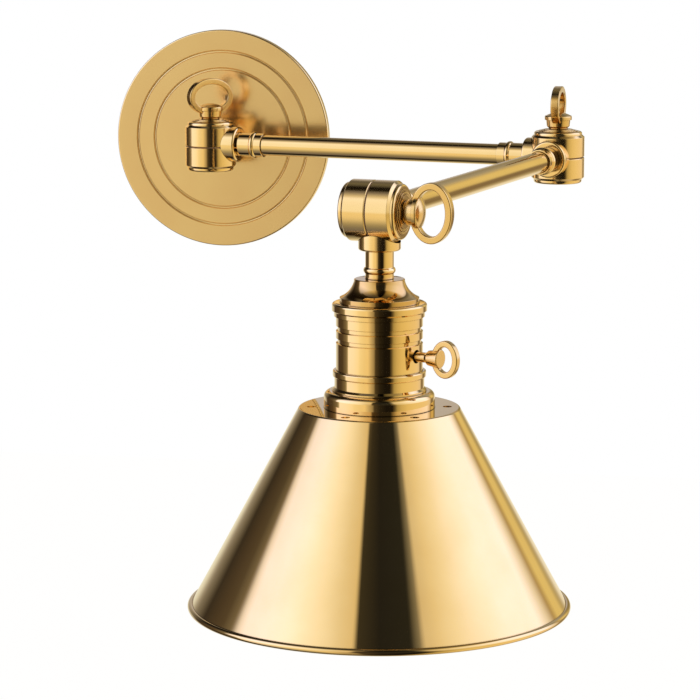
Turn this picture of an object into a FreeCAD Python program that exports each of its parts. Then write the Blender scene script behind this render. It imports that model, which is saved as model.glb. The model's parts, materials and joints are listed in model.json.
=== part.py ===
import FreeCAD, Part
import math
import os
from types import SimpleNamespace

import Sketcher
from FreeCAD import Placement, Rotation, Vector

# Swing-arm wall sconce. Origin at the centre of the wall plate's back, +Y into the wall,
# +X to the right and +Z up, as someone facing the wall sees it. Millimetres and degrees.

driving_sizes = {
    "plate_radius": (69.5, "round wall plate"),
    "plate_thickness": (5.0, "wall plate, wall to front face"),
    "plate_edge_round": (0.9, "front edge of the wall plate"),
    "plate_recess_radius": (64.0, "hollow behind the wall plate"),
    "plate_recess_depth": (3.4, "hollow behind the wall plate"),
    "outer_groove_radius": (55.8, "larger turned groove, middle of the groove"),
    "inner_groove_radius": (44.6, "smaller turned groove, middle of the groove"),
    "groove_width": (1.6, "turned grooves"),
    "groove_depth": (0.5, "turned grooves"),
    "strap_length": (108.0, "steel strap behind the plate"),
    "strap_width": (20.0, "steel strap"),
    "strap_thickness": (1.5, "steel strap"),
    "strap_slot_spacing": (80.0, "middle to middle of the two slots"),
    "strap_slot_length": (16.0, "end to end of a slot"),
    "strap_slot_radius": (2.3, "half the width of a slot"),
    "ground_screw_place": (20.0, "earth screw, from the middle of the strap"),
    "nipple_radius": (5.0, "threaded tubes that hold the parts together"),
    "lead_bore": (3.8, "way for the leads through tubes and fittings"),
    "nipple_grip": (9.0, "length of tube inside each fitting"),
    "nut_size": (8.0, "hexagon nuts, middle to corner"),
    "wall_nut_thickness": (1.4, "flat nut on the strap"),
    "head_nut_thickness": (3.0, "nut inside the socket cap"),
    "stub_length": (33.0, "wall plate's face to the first pivot axis"),
    "arm_one_length": (230.0, "first pivot axis to second pivot axis"),
    "arm_two_length": (298.0, "second pivot axis to tilt axis"),
    "arm_one_angle": (10.7, "first arm out from the wall plane"),
    "elbow_angle": (90.2, "second arm folded from the line of the first"),
    "tube_radius": (6.35, "arm tubes, half-inch tube"),
    "tube_wall": (1.0, "arm tubes"),
    "knuckle_radius": (16.0, "pivot knuckles"),
    "knuckle_half_length": (15.6, "middle of a knuckle to its end face"),
    "knuckle_bevel": (1.3, "edge of the knuckle's barrel"),
    "knuckle_barrel_end": (13.4, "middle of a knuckle to the end of its barrel"),
    "knuckle_cap_radius": (14.5, "raised end of a knuckle"),
    "knuckle_cap_round": (1.4, "edge of the raised end"),
    "wall_seam_drop": (1.5, "seam under the middle of the arm, first knuckle"),
    "tilt_seam_shift": (2.5, "seam from the middle of the arm to the left, tilt knuckle"),
    "knuckle_cavity_radius": (12.8, "hollow for the leads"),
    "knuckle_cavity_top": (12.4, "hollow for the leads, from the middle"),
    "knuckle_hub_radius": (6.0, "boss round the clamp screw"),
    "seam_gap": (0.5, "space between two knuckle halves"),
    "seam_bevel": (0.45, "edges along the seam"),
    "friction_washer_thickness": (0.4, "washer between two knuckle halves"),
    "sliding_clearance": (0.3, "collar over the knuckle half that turns under it"),
    "turning_clearance": (0.05, "screws and shafts in their holes, on the radius"),
    "seat_clearance": (0.05, "soldered and screwed seats, on the radius"),
    "end_clearance": (0.1, "flat faces that turn on each other"),
    "collar_radius": (11.0, "saddle collar on a knuckle"),
    "collar_length": (20.3, "pivot axis to the collar's outer face"),
    "collar_edge_round": (1.3, "outer edge of a collar"),
    "collar_floor": (17.3, "pivot axis to the floor of the collar's socket"),
    "spigot_radius": (5.0, "end of a fitting inside its collar"),
    "lead_window_radius": (2.2, "hole that leads pass through"),
    "lead_window_height": (2.8, "hole that leads pass through, from the seam"),
    "neck_radius": (7.4, "turned end fittings"),
    "bead_start": (29.0, "pivot axis to the bead"),
    "bead_length": (3.2, "bead on a fitting"),
    "bead_height": (0.95, "bead above the fitting"),
    "fitting_length": (37.0, "pivot axis to the end of an arm fitting"),
    "tube_start": (26.0, "pivot axis to the end of the arm tube"),
    "lead_radius": (1.1, "insulated lead"),
    "lead_drop": (2.3, "leads lie this far under the tube's middle"),
    "lead_spread": (1.25, "each lead from the middle plane"),
    "washer_outer_radius": (11.8, "stepped washer, first step"),
    "washer_middle_radius": (10.2, "stepped washer, second step"),
    "washer_inner_radius": (8.7, "stepped washer, third step"),
    "washer_step": (0.4, "stepped washer, height of each step"),
    "screw_radius": (3.0, "clamp screw's thread"),
    "screw_reach": (11.0, "clamp screw past the seam"),
    "screw_tip_bevel": (0.6, "end of the clamp screw"),
    "knob_neck_radius": (5.8, "neck under the thumb knob"),
    "knob_gap": (2.2, "knuckle's end face to the knob"),
    "knob_foot_radius": (6.9, "thumb knob, lower end"),
    "knob_foot_bevel": (0.8, "lower edge of the thumb knob"),
    "knob_waist_radius": (7.3, "thumb knob, under its flange"),
    "knob_body_length": (4.6, "thumb knob, lower end to the flange"),
    "knob_radius": (8.2, "flange of the thumb knob"),
    "knob_flange_length": (2.6, "flange of the thumb knob"),
    "knob_round": (0.9, "edge of the flange"),
    "knob_dome": (1.9, "domed top of the thumb knob"),
    "thumb_ring_height": (15.4, "knuckle's end face to the ring's middle"),
    "thumb_ring_long": (15.75, "ring's outer half length, across the screw"),
    "thumb_ring_short": (11.55, "ring's outer half length, along the screw"),
    "thumb_ring_band": (3.7, "ring, outer to inner edge"),
    "thumb_ring_width": (5.0, "ring's band, face to face"),
    "ring_edge_round": (0.7, "edges of the rings"),
    "wall_ring_angle": (44.0, "ring's long way, from +X towards the wall"),
    "elbow_ring_angle": (88.0, "ring's long way, from +X towards the wall"),
    "neck_length": (35.0, "tilt axis to the top of the socket cap"),
    "cap_top_radius": (13.2, "ogee cap, top"),
    "cap_top_round": (0.7, "ogee cap, top edge"),
    "cap_sweep_top": (1.1, "ogee cap, top face to the hollow curve"),
    "cap_sweep_height": (8.6, "ogee cap, height of the hollow curve"),
    "cap_sweep_radius": (12.2, "ogee cap, hollow curve"),
    "cap_skirt_radius": (20.6, "ogee cap, lower band"),
    "cap_height": (14.0, "ogee cap, overall"),
    "cap_wall": (1.4, "ogee cap"),
    "shell_top": (12.4, "cap's top to the socket shell's top"),
    "shell_radius": (22.5, "socket shell"),
    "shell_bore": (20.2, "socket shell, inside"),
    "shell_rim_radius": (24.6, "top rim of the socket shell"),
    "shell_rim_round": (1.3, "top rim of the socket shell"),
    "shell_rim_length": (4.8, "top rim of the socket shell"),
    "shell_rim_slope": (0.8, "lower side of the top rim"),
    "shell_step_radius": (23.5, "step under the top rim"),
    "shell_step_length": (2.5, "step under the top rim"),
    "shell_rib_depth": (0.9, "two turned grooves of the shell"),
    "shell_rib_width": (2.7, "two turned grooves of the shell, at the outside"),
    "shell_first_rib": (12.1, "shell's top to the first groove"),
    "shell_second_rib": (18.4, "shell's top to the second groove"),
    "shell_bead_height": (1.2, "lower bead, above the band under it"),
    "shell_bead_top": (34.9, "shell's top to the lower bead"),
    "shell_bead_length": (4.0, "lower bead"),
    "shell_foot_radius": (23.3, "band under the lower bead"),
    "shell_foot_lip": (24.4, "lip at the shell's lower end"),
    "shell_foot_lip_length": (1.0, "lip at the shell's lower end"),
    "shell_length": (46.1, "socket shell"),
    "holder_radius": (28.8, "shade holder"),
    "holder_height": (8.7, "shade holder"),
    "holder_shoulder": (3.0, "rounded shoulder of the shade holder"),
    "holder_lip": (2.0, "inward lip of the shade holder"),
    "lamp_collar_radius": (18.0, "threaded collar that carries the shade"),
    "lamp_collar_gap": (0.4, "space round the threaded collar"),
    "lampholder_radius": (19.0, "ceramic lampholder"),
    "lampholder_below_key": (6.1, "switch key's middle to the top of the lampholder"),
    "lampholder_length": (31.0, "ceramic lampholder"),
    "lampholder_floor": (5.0, "ceramic above the screw shell"),
    "contact_pocket_depth": (2.2, "pocket for the centre contact"),
    "screw_shell_bore": (13.3, "inside of the lamp's screw shell"),
    "screw_shell_wall": (0.4, "lamp's screw shell"),
    "screw_shell_length": (25.0, "lamp's screw shell"),
    "screw_shell_eye": (8.0, "hole at the top of the screw shell"),
    "contact_radius": (5.0, "centre contact"),
    "contact_thickness": (0.9, "centre contact"),
    "contact_rivet": (1.6, "rivet of the centre contact"),
    "shade_ring_radius": (23.0, "ring that clamps the shade"),
    "shade_ring_height": (4.0, "ring that clamps the shade"),
    "shade_top_radius": (41.8, "flat top of the shade"),
    "shade_rim_radius": (98.6, "middle of the rolled rim"),
    "shade_cone_height": (105.0, "flat top to the middle of the rolled rim"),
    "shade_wall": (0.9, "spun shade"),
    "shade_corner_round": (1.4, "edge of the shade's flat top"),
    "shade_roll_radius": (1.75, "rolled rim, half its thickness"),
    "vent_radius": (2.4, "holes in the shade's top"),
    "vent_circle": (35.3, "circle of the holes"),
    "vent_angle": (-49.0, "first hole, from +X"),
    "switch_radius": (17.0, "switch body"),
    "switch_height": (23.0, "switch body"),
    "liner_wall": (0.7, "insulating liner"),
    "liner_top": (50.5, "tilt axis to the liner's top"),
    "liner_length": (41.0, "insulating liner"),
    "key_height": (73.9, "tilt axis down to the switch key"),
    "key_angle": (-21.5, "switch key, from +X"),
    "key_hole_radius": (3.55, "hole for the key in the shell"),
    "key_shaft_radius": (2.2, "key's shaft"),
    "key_shaft_start": (5.0, "inner end of the shaft, from the socket's axis"),
    "key_flare_start": (5.8, "shell to the key's flare"),
    "key_flare_length": (3.7, "flare of the key"),
    "key_waist_radius": (4.1, "key's knob where the flare ends"),
    "key_knob_radius": (5.2, "key's knob"),
    "key_knob_end": (14.4, "shell to the end of the knob"),
    "key_knob_round": (0.6, "end of the knob"),
    "key_ring_place": (17.3, "shell to the middle of the key's ring"),
    "key_ring_long": (9.75, "outer half length, across the shaft"),
    "key_ring_short": (7.7, "outer half length, along the shaft"),
    "key_ring_band": (3.2, "ring, outer to inner edge"),
    "key_ring_width": (3.6, "ring's band, face to face"),
    "small_screw_radius": (1.9, "earth and terminal screws"),
    "small_screw_head": (3.3, "earth and terminal screws"),
    "small_screw_head_height": (1.5, "earth and terminal screws"),
    "small_screw_length": (5.0, "earth and terminal screws"),
    "small_screw_slot": (0.8, "driver slot"),
    "terminals_above_key": (9.9, "switch key's middle up to the terminal screws"),
    "overrun": (3.0, "how far cuts run past what they cut"),
}


class Size:
    # A length that keeps the words of its sheet expression beside its number.
    def __init__(self, text, value):
        self.text = text
        self.value = value

    def combined(self, sign, other):
        text = other.text if isinstance(other, Size) else str(other)
        value = other.value if isinstance(other, Size) else other
        results = {
            "+": lambda: self.value + value,
            "-": lambda: self.value - value,
            "*": lambda: self.value * value,
            "/": lambda: self.value / value,
        }
        return Size("(" + self.text + " " + sign + " " + text + ")", results[sign]())

    def __add__(self, other):
        return self.combined("+", other)

    def __sub__(self, other):
        return self.combined("-", other)

    def __mul__(self, other):
        return self.combined("*", other)

    def __truediv__(self, other):
        return self.combined("/", other)

    def __neg__(self):
        return Size("(-" + self.text + ")", -self.value)


ZERO = Size("0", 0)
RIGHT = Vector(1, 0, 0)
UP = Vector(0, 0, 1)
DOWN = Vector(0, 0, -1)
OUT_OF_WALL = Vector(0, -1, 0)

doc = FreeCAD.newDocument("WallSconce")
sheet = doc.addObject("Spreadsheet::Sheet", "Sizes")
for row, (alias, (value, note)) in enumerate(driving_sizes.items(), start=1):
    sheet.set("A%d" % row, alias)
    sheet.set("B%d" % row, str(value))
    sheet.setAlias("B%d" % row, alias)
    sheet.set("C%d" % row, note)
doc.recompute()
s = SimpleNamespace(**{alias: Size("Sizes." + alias, float(sheet.get(alias))) for alias in driving_sizes})

finished = []


def keep(piece, label, placement):
    piece.Label = label
    piece.Placement = placement
    finished.append(piece)
    return piece


def bind(thing, **sizes):
    for name, size in sizes.items():
        thing.setExpression(name, size.text)


# Frames: an origin, the direction of local Z and the direction of local X.
def frame(origin, along_z, along_x):
    side = along_z.cross(along_x)
    return Placement(origin, Rotation(along_x, side, along_z, "ZXY"))


def heading(degrees):
    return Vector(math.cos(math.radians(degrees)), math.sin(math.radians(degrees)), 0)


arm_one_way = heading(-s.arm_one_angle.value)
arm_two_way = heading(-s.arm_one_angle.value - s.elbow_angle.value)
wall_joint = Vector(0, -(s.plate_thickness + s.stub_length).value, 0)
elbow_joint = wall_joint + arm_one_way * s.arm_one_length.value
tilt_joint = elbow_joint + arm_two_way * s.arm_two_length.value
tilt_axis = heading(-s.arm_one_angle.value - s.elbow_angle.value + 90)
key_way = heading(s.key_angle.value)
wall_frame = frame(Vector(0, 0, 0), OUT_OF_WALL, RIGHT)
head_frame = frame(tilt_joint, UP, key_way)
shade_frame = frame(tilt_joint, UP, heading(s.vent_angle.value))


def new_body(name):
    return doc.addObject("PartDesign::Body", name)


def new_sketch(body, role, name, lift=None):
    sketch = body.newObject("Sketcher::SketchObject", name)
    plane = [feature for feature in body.Origin.OriginFeatures if feature.Role == role][0]
    sketch.AttachmentSupport = [(plane, "")]
    sketch.MapMode = "FlatFace"
    if lift is not None:
        sketch.setExpression("AttachmentOffset.Base.z", lift.text)
    return sketch


def fix_point(sketch, curve, point, x, y):
    for kind, size, axis in (("DistanceX", x, -2), ("DistanceY", y, -1)):
        if size is ZERO:
            sketch.addConstraint(Sketcher.Constraint("PointOnObject", curve, point, axis))
        else:
            index = sketch.addConstraint(Sketcher.Constraint(kind, -1, 1, curve, point, size.value))
            sketch.setExpression("Constraints[%d]" % index, size.text)


def arc_between(start, end, radius):
    # A positive radius turns left on the way from start to end, a negative one turns right.
    chord = end - start
    middle = (start + end) * 0.5
    left = Vector(-chord.y, chord.x, 0).normalize()
    half = chord.Length / 2
    rise = abs(radius) - math.sqrt(max(radius * radius - half * half, 0))
    bulge = -rise if radius > 0 else rise
    return Part.Arc(start, middle + left * bulge, end)


def draw_outline(sketch, corners):
    # Each corner is (x, y) or (x, y, radius of the arc that leads on to the next corner).
    points = [Vector(corner[0].value, corner[1].value, 0) for corner in corners]
    ends = []
    for number, corner in enumerate(corners):
        start = points[number]
        end = points[(number + 1) % len(points)]
        if len(corner) == 2:
            curve = sketch.addGeometry(Part.LineSegment(start, end))
            ends.append((curve, 1, 2))
        else:
            curve = sketch.addGeometry(arc_between(start, end, corner[2].value))
            ends.append((curve, 1, 2) if corner[2].value > 0 else (curve, 2, 1))
    for number, (curve, first, last) in enumerate(ends):
        following = ends[(number + 1) % len(ends)]
        sketch.addConstraint(Sketcher.Constraint("Coincident", curve, last, following[0], following[1]))
    for (curve, first, last), corner in zip(ends, corners):
        fix_point(sketch, curve, first, corner[0], corner[1])
        if len(corner) == 3:
            radius = corner[2] if corner[2].value > 0 else -corner[2]
            index = sketch.addConstraint(Sketcher.Constraint("Radius", curve, radius.value))
            sketch.setExpression("Constraints[%d]" % index, radius.text)


def draw_circle(sketch, x, y, radius):
    curve = sketch.addGeometry(Part.Circle(Vector(x.value, y.value, 0), Vector(0, 0, 1), radius.value))
    index = sketch.addConstraint(Sketcher.Constraint("Radius", curve, radius.value))
    sketch.setExpression("Constraints[%d]" % index, radius.text)
    fix_point(sketch, curve, 3, x, y)


def draw_slot(sketch, x, half_length, radius):
    # A slot along X with round ends, its middle at (x, 0).
    reach = half_length - radius
    up = Vector(0, radius.value, 0)
    right = Vector((x + reach).value, 0, 0)
    left = Vector((x - reach).value, 0, 0)
    side = Vector(radius.value, 0, 0)
    right_end = sketch.addGeometry(Part.Arc(right - up, right + side, right + up))
    top = sketch.addGeometry(Part.LineSegment(right + up, left + up))
    left_end = sketch.addGeometry(Part.Arc(left + up, left - side, left - up))
    bottom = sketch.addGeometry(Part.LineSegment(left - up, right - up))
    for first, second in ((right_end, top), (top, left_end), (left_end, bottom), (bottom, right_end)):
        sketch.addConstraint(Sketcher.Constraint("Tangent", first, 2, second, 1))
    for curve, place in ((right_end, x + reach), (left_end, x - reach)):
        fix_point(sketch, curve, 3, place, ZERO)
        index = sketch.addConstraint(Sketcher.Constraint("Radius", curve, radius.value))
        sketch.setExpression("Constraints[%d]" % index, radius.text)


def turn(body, name, corners, cut=False, axis="V_Axis"):
    # Turned about local Z, or about local X where axis is H_Axis. Corners are (x, z).
    sketch = new_sketch(body, "XZ_Plane", name + "_outline")
    draw_outline(sketch, corners)
    kind = "PartDesign::Groove" if cut else "PartDesign::Revolution"
    feature = body.newObject(kind, name)
    feature.Profile = sketch
    feature.ReferenceAxis = (sketch, [axis])
    feature.Angle = 360
    return feature


def drill(body, name, x, y, radius, start, depth, role="YZ_Plane"):
    # A round pocket from start, back along the plane's normal.
    sketch = new_sketch(body, role, name + "_outline", start)
    draw_circle(sketch, x, y, radius)
    return pocket(body, name, sketch, depth)


def pocket(body, name, sketch, depth):
    feature = body.newObject("PartDesign::Pocket", name)
    feature.Profile = sketch
    bind(feature, Length=depth)
    return feature


def pad(body, name, sketch, length):
    feature = body.newObject("PartDesign::Pad", name)
    feature.Profile = sketch
    bind(feature, Length=length)
    return feature


def turned_piece(label, placement, corners):
    body = new_body(label)
    turn(body, "Turning", corners)
    return keep(body, label, placement)


def ring_corners(inner, outer, bottom, top):
    return [(inner, bottom), (outer, bottom), (outer, top), (inner, top)]


def cylinder(name, radius, height, x=ZERO, y=ZERO, z=ZERO):
    piece = doc.addObject("Part::Cylinder", name)
    bind(piece, Radius=radius, Height=height)
    for axis, size in (("x", x), ("y", y), ("z", z)):
        piece.setExpression("Placement.Base." + axis, size.text)
    return piece


def cut(name, base, tool):
    piece = doc.addObject("Part::Cut", name)
    piece.Base = base
    piece.Tool = tool
    return piece


# Wall plate, strap and the hollow threaded tube that holds them together.
def groove_corners(radius):
    face = s.plate_thickness
    floor = face - s.groove_depth
    slope = s.groove_depth / 2
    half = s.groove_width / 2
    return [
        (radius + half, face),
        (radius + half - slope, floor),
        (radius - half + slope, floor),
        (radius - half, face),
    ]


def make_wall_plate():
    face = s.plate_thickness
    bore = s.nipple_radius + s.seat_clearance
    corners = [
        (bore, s.plate_recess_depth),
        (s.plate_recess_radius, s.plate_recess_depth),
        (s.plate_recess_radius, ZERO),
        (s.plate_radius, ZERO),
        (s.plate_radius, face - s.plate_edge_round, s.plate_edge_round),
        (s.plate_radius - s.plate_edge_round, face),
    ]
    corners += groove_corners(s.outer_groove_radius) + groove_corners(s.inner_groove_radius)
    corners += [(bore, face)]
    turned_piece("wall_plate", wall_frame, corners)


def make_strap():
    body = new_body("wall_strap")
    sketch = new_sketch(body, "XY_Plane", "Bar_outline")
    long = s.strap_length / 2
    wide = s.strap_width / 2
    draw_outline(sketch, [(-long, -wide), (long, -wide), (long, wide), (-long, wide)])
    pad(body, "Bar", sketch, s.strap_thickness)
    holes = new_sketch(body, "XY_Plane", "Holes_outline", s.strap_thickness)
    for place in (s.strap_slot_spacing / 2, -s.strap_slot_spacing / 2):
        draw_slot(holes, place, s.strap_slot_length / 2, s.strap_slot_radius)
    draw_circle(holes, ZERO, ZERO, s.nipple_radius + s.seat_clearance)
    draw_circle(holes, s.ground_screw_place, ZERO, s.small_screw_radius + s.seat_clearance)
    pocket(body, "Holes", holes, s.strap_thickness)
    keep(body, "wall_strap", wall_frame)


def make_tube(label, placement, start, end, radius, bore):
    corners = ring_corners(bore, radius, start, end)
    turned_piece(label, placement, corners)


def make_nut(label, placement, bottom, thickness):
    block = doc.addObject("Part::Prism", label + "_block")
    block.Polygon = 6
    bind(block, Circumradius=s.nut_size, Height=thickness)
    block.setExpression("Placement.Base.z", bottom.text)
    hole = cylinder(label + "_hole", s.nipple_radius + s.seat_clearance, thickness, z=bottom)
    keep(cut(label, block, hole), label, placement)


def screw_body(name, lift, length):
    # A pan head whose underside is at the lift, with its shank below and a driver slot.
    body = new_body(name)
    top = lift + s.small_screw_head_height
    corners = [
        (ZERO, lift - length),
        (s.small_screw_radius, lift - length),
        (s.small_screw_radius, lift),
        (s.small_screw_head, lift),
        (s.small_screw_head, lift + s.small_screw_head_height / 2, s.small_screw_head_height / 2),
        (s.small_screw_head - s.small_screw_head_height / 2, top),
        (ZERO, top),
    ]
    turn(body, "Turning", corners)
    slot = new_sketch(body, "XY_Plane", "Slot_outline", top)
    half = s.small_screw_slot / 2
    reach = s.small_screw_head + s.overrun
    draw_outline(slot, [(-reach, -half), (reach, -half), (reach, half), (-reach, half)])
    pocket(body, "Slot", slot, s.small_screw_head_height / 2)
    return body


def make_wall_hardware():
    nipple_end = s.plate_thickness + s.nipple_grip
    make_tube("wall_nipple", wall_frame, ZERO, nipple_end, s.nipple_radius, s.lead_bore)
    make_nut("wall_nut", wall_frame, s.strap_thickness, s.wall_nut_thickness)
    place = Placement(Vector(s.ground_screw_place.value, 0, 0), wall_frame.Rotation)
    keep(screw_body("earth_screw", s.strap_thickness, s.strap_thickness), "earth_screw", place)
    leads_end = s.plate_thickness + s.stub_length - s.collar_floor - s.end_clearance
    make_leads("wall_leads", wall_frame, ZERO, leads_end)


# Knuckles: two alike halves, each with a saddle collar that reaches over the other half. The rise is how
# far the seam lies from the collar's middle, towards this half's end.
def knuckle_half(label, placement, screw_hole_end, rise):
    body = new_body(label)
    seam = rise + s.seam_gap / 2
    barrel_end = rise + s.knuckle_barrel_end
    end = rise + s.knuckle_half_length
    turn(body, "Barrel", [
        (ZERO, seam),
        (s.knuckle_radius - s.seam_bevel, seam),
        (s.knuckle_radius, seam + s.seam_bevel),
        (s.knuckle_radius, barrel_end - s.knuckle_bevel),
        (s.knuckle_radius - s.knuckle_bevel, barrel_end),
        (s.knuckle_cap_radius, barrel_end),
        (s.knuckle_cap_radius, end - s.knuckle_cap_round, s.knuckle_cap_round),
        (s.knuckle_cap_radius - s.knuckle_cap_round, end),
        (ZERO, end),
    ])
    turn(body, "Collar", [
        (s.collar_radius, ZERO),
        (s.collar_length, ZERO),
        (s.collar_length, s.collar_radius - s.collar_edge_round, s.collar_edge_round),
        (s.collar_length - s.collar_edge_round, s.collar_radius),
        (s.collar_radius, s.collar_radius),
    ], axis="H_Axis")
    low = -(s.collar_radius + s.overrun)
    clear = s.knuckle_radius + s.sliding_clearance
    turn(body, "Saddle", [(ZERO, low), (clear, low), (clear, seam), (ZERO, seam)], cut=True)
    cavity_top = rise + s.knuckle_cavity_top
    turn(body, "Hollow", ring_corners(s.knuckle_hub_radius, s.knuckle_cavity_radius, seam, cavity_top),
         cut=True)
    hole = s.screw_radius + s.turning_clearance
    hole_end = rise + screw_hole_end
    turn(body, "Screw_hole", [(ZERO, seam), (hole, seam), (hole, hole_end), (ZERO, hole_end)], cut=True)
    drill(body, "Socket", ZERO, ZERO, s.spigot_radius + s.seat_clearance, s.collar_length,
          s.collar_length - s.collar_floor)
    drill(body, "Window", ZERO, rise + s.lead_window_height, s.lead_window_radius, s.collar_floor,
          s.collar_floor - s.knuckle_hub_radius - s.seam_gap)
    keep(body, label, placement)


def make_knuckle(place, names, joint, axis, lower_way, upper_way, ring_way, drop):
    # The drop is how far the seam lies from the arm's middle, against the axis.
    lower, upper = names
    through = s.knuckle_half_length + s.overrun
    blind = s.screw_reach + s.end_clearance
    knuckle_half(lower, frame(joint, -axis, lower_way), blind, drop)
    knuckle_half(upper, frame(joint, axis, upper_way), through, -drop)
    on_axis = frame(joint - axis * drop.value, axis, ring_way)
    bottom = -s.seam_gap / 2
    top = bottom + s.friction_washer_thickness
    outer = s.knuckle_radius - s.seam_bevel
    disc = ring_corners(s.knuckle_cavity_radius, outer, bottom, top)
    turned_piece(place + "_friction_washer", on_axis, disc)
    make_clamp_washer(place + "_clamp_washer", on_axis)
    make_thumbscrew(place, on_axis)


def make_clamp_washer(label, placement):
    base = s.knuckle_half_length
    hole = s.screw_radius + s.turning_clearance
    corners = [(hole, base)]
    for level, radius in enumerate((s.washer_outer_radius, s.washer_middle_radius, s.washer_inner_radius)):
        corners += [(radius, base + s.washer_step * level), (radius, base + s.washer_step * (level + 1))]
    corners += [(hole, base + s.washer_step * 3)]
    turned_piece(label, placement, corners)


def oval_ring(name, long, short, band, width):
    halves = []
    for part, inset in (("outside", ZERO), ("inside", band)):
        oval = doc.addObject("Part::Ellipse", name + "_" + part)
        bind(oval, MajorRadius=long - inset, MinorRadius=short - inset)
        solid = doc.addObject("Part::Extrusion", name + "_" + part + "_solid")
        solid.Base = oval
        solid.DirMode = "Custom"
        solid.Dir = UP
        solid.Solid = True
        solid.Symmetric = True
        bind(solid, LengthFwd=width)
        halves.append(solid)
    return cut(name + "_blank", halves[0], halves[1])


def rounded(name, blank, radius):
    doc.recompute()
    piece = doc.addObject("Part::Fillet", name)
    piece.Base = blank
    closed = [number for number, edge in enumerate(blank.Shape.Edges, start=1) if edge.isClosed()]
    piece.Edges = [(number, radius.value, radius.value) for number in closed]
    return piece


def ring_and_slot(name, body, distance, sizes, label, placement):
    # The ring stands in a slot cut through its knob, which it fits with a soldering gap.
    long, short, band, width = sizes
    gap = s.seat_clearance
    standing = Placement(Vector(0, 0, distance.value), Rotation(RIGHT, 90))
    tool = oval_ring(name + "_slot", long + gap, short + gap, band + gap * 2, width + gap * 2)
    tool.Placement = standing
    keep(cut(label, body, tool), label, placement)
    ring = rounded(name, oval_ring(name, long, short, band, width), s.ring_edge_round)
    keep(ring, name, placement.multiply(standing))


def make_thumbscrew(place, placement):
    body = new_body(place + "_thumbscrew_blank")
    under = s.knuckle_half_length + s.washer_step * 3 + s.end_clearance
    knob = s.knuckle_half_length + s.knob_gap
    flange = knob + s.knob_body_length
    flange_top = flange + s.knob_flange_length
    dome_foot = s.knob_radius - s.knob_round
    dome_radius = bulge_radius(dome_foot * 2, s.knob_dome)
    turn(body, "Turning", [
        (ZERO, -s.screw_reach),
        (s.screw_radius - s.screw_tip_bevel, -s.screw_reach),
        (s.screw_radius, s.screw_tip_bevel - s.screw_reach),
        (s.screw_radius, under),
        (s.knob_neck_radius, under),
        (s.knob_neck_radius, knob),
        (s.knob_foot_radius - s.knob_foot_bevel, knob),
        (s.knob_foot_radius, knob + s.knob_foot_bevel),
        (s.knob_waist_radius, flange),
        (s.knob_radius, flange),
        (s.knob_radius, flange_top - s.knob_round, s.knob_round),
        (dome_foot, flange_top, dome_radius),
        (ZERO, flange_top + s.knob_dome),
    ])
    sizes = (s.thumb_ring_long, s.thumb_ring_short, s.thumb_ring_band, s.thumb_ring_width)
    ring_and_slot(place + "_thumb_ring", body, s.knuckle_half_length + s.thumb_ring_height, sizes,
                  place + "_thumbscrew", placement)


def bulge_radius(length, height):
    half = length / 2
    return (half * half + height * height) / (height * 2)


# Turned end fittings: a spigot in the collar, a neck, a bead and a seat for a tube.
def make_fitting(label, placement, length, seat_radius, seat_floor):
    bead_end = s.bead_start + s.bead_length
    bead_round = bulge_radius(s.bead_length, s.bead_height)
    start = s.collar_floor + s.end_clearance
    turned_piece(label, placement, [
        (s.lead_bore, start),
        (s.spigot_radius, start),
        (s.spigot_radius, s.collar_length),
        (s.neck_radius, s.collar_length),
        (s.neck_radius, s.bead_start, bead_round),
        (s.neck_radius, bead_end),
        (s.neck_radius, length),
        (seat_radius + s.seat_clearance, length),
        (seat_radius + s.seat_clearance, seat_floor),
        (s.lead_bore, seat_floor),
    ])


def make_leads(label, placement, start, end):
    wires = []
    for side, offset in (("left", s.lead_spread), ("right", -s.lead_spread)):
        wires.append(cylinder(label + "_" + side, s.lead_radius, end - start, -s.lead_drop, offset, start))
    pair = doc.addObject("Part::Compound", label)
    pair.Links = wires
    keep(pair, label, placement)


def make_arm(name, start, way, length):
    near = frame(start, way, UP)
    far = frame(start + way * length.value, -way, UP)
    for label, placement in ((name + "_inner_fitting", near), (name + "_outer_fitting", far)):
        make_fitting(label, placement, s.fitting_length, s.tube_radius, s.tube_start)
    bore = s.tube_radius - s.tube_wall
    make_tube(name + "_tube", near, s.tube_start, length - s.tube_start, s.tube_radius, bore)
    leads_start = s.collar_floor + s.end_clearance
    make_leads(name + "_leads", near, leads_start, length - leads_start)


# Head: neck, ogee cap, socket shell, shade holder and the lampholder inside them.
def make_neck():
    hanging = frame(tilt_joint, DOWN, RIGHT)
    seat = s.neck_length - s.nipple_grip + s.end_clearance
    make_fitting("head_neck", hanging, s.neck_length, s.nipple_radius, seat)
    below = s.neck_length + s.cap_wall + s.head_nut_thickness
    make_tube("head_nipple", hanging, seat, below + s.seam_gap, s.nipple_radius, s.lead_bore)
    make_nut("head_nut", head_frame, -below, s.head_nut_thickness)
    switch_top = s.key_height + s.lampholder_below_key - s.switch_height
    make_leads("head_leads", hanging, s.collar_floor + s.end_clearance, switch_top)


def make_cap():
    top = -s.neck_length
    sweep = top - s.cap_sweep_top
    band = sweep - s.cap_sweep_height
    bottom = top - s.cap_height
    hole = s.nipple_radius + s.seat_clearance
    inner_skirt = s.cap_skirt_radius - s.cap_wall
    inner_top = s.cap_top_radius - s.cap_wall
    turned_piece("socket_cap", head_frame, [
        (hole, top),
        (hole, top - s.cap_wall),
        (inner_top, top - s.cap_wall),
        (inner_top, sweep - s.cap_wall),
        (inner_skirt, band - s.cap_wall),
        (inner_skirt, bottom),
        (s.cap_skirt_radius, bottom),
        (s.cap_skirt_radius, band, -s.cap_sweep_radius),
        (s.cap_top_radius, sweep),
        (s.cap_top_radius, top - s.cap_top_round, s.cap_top_round),
        (s.cap_top_radius - s.cap_top_round, top),
    ])


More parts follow.
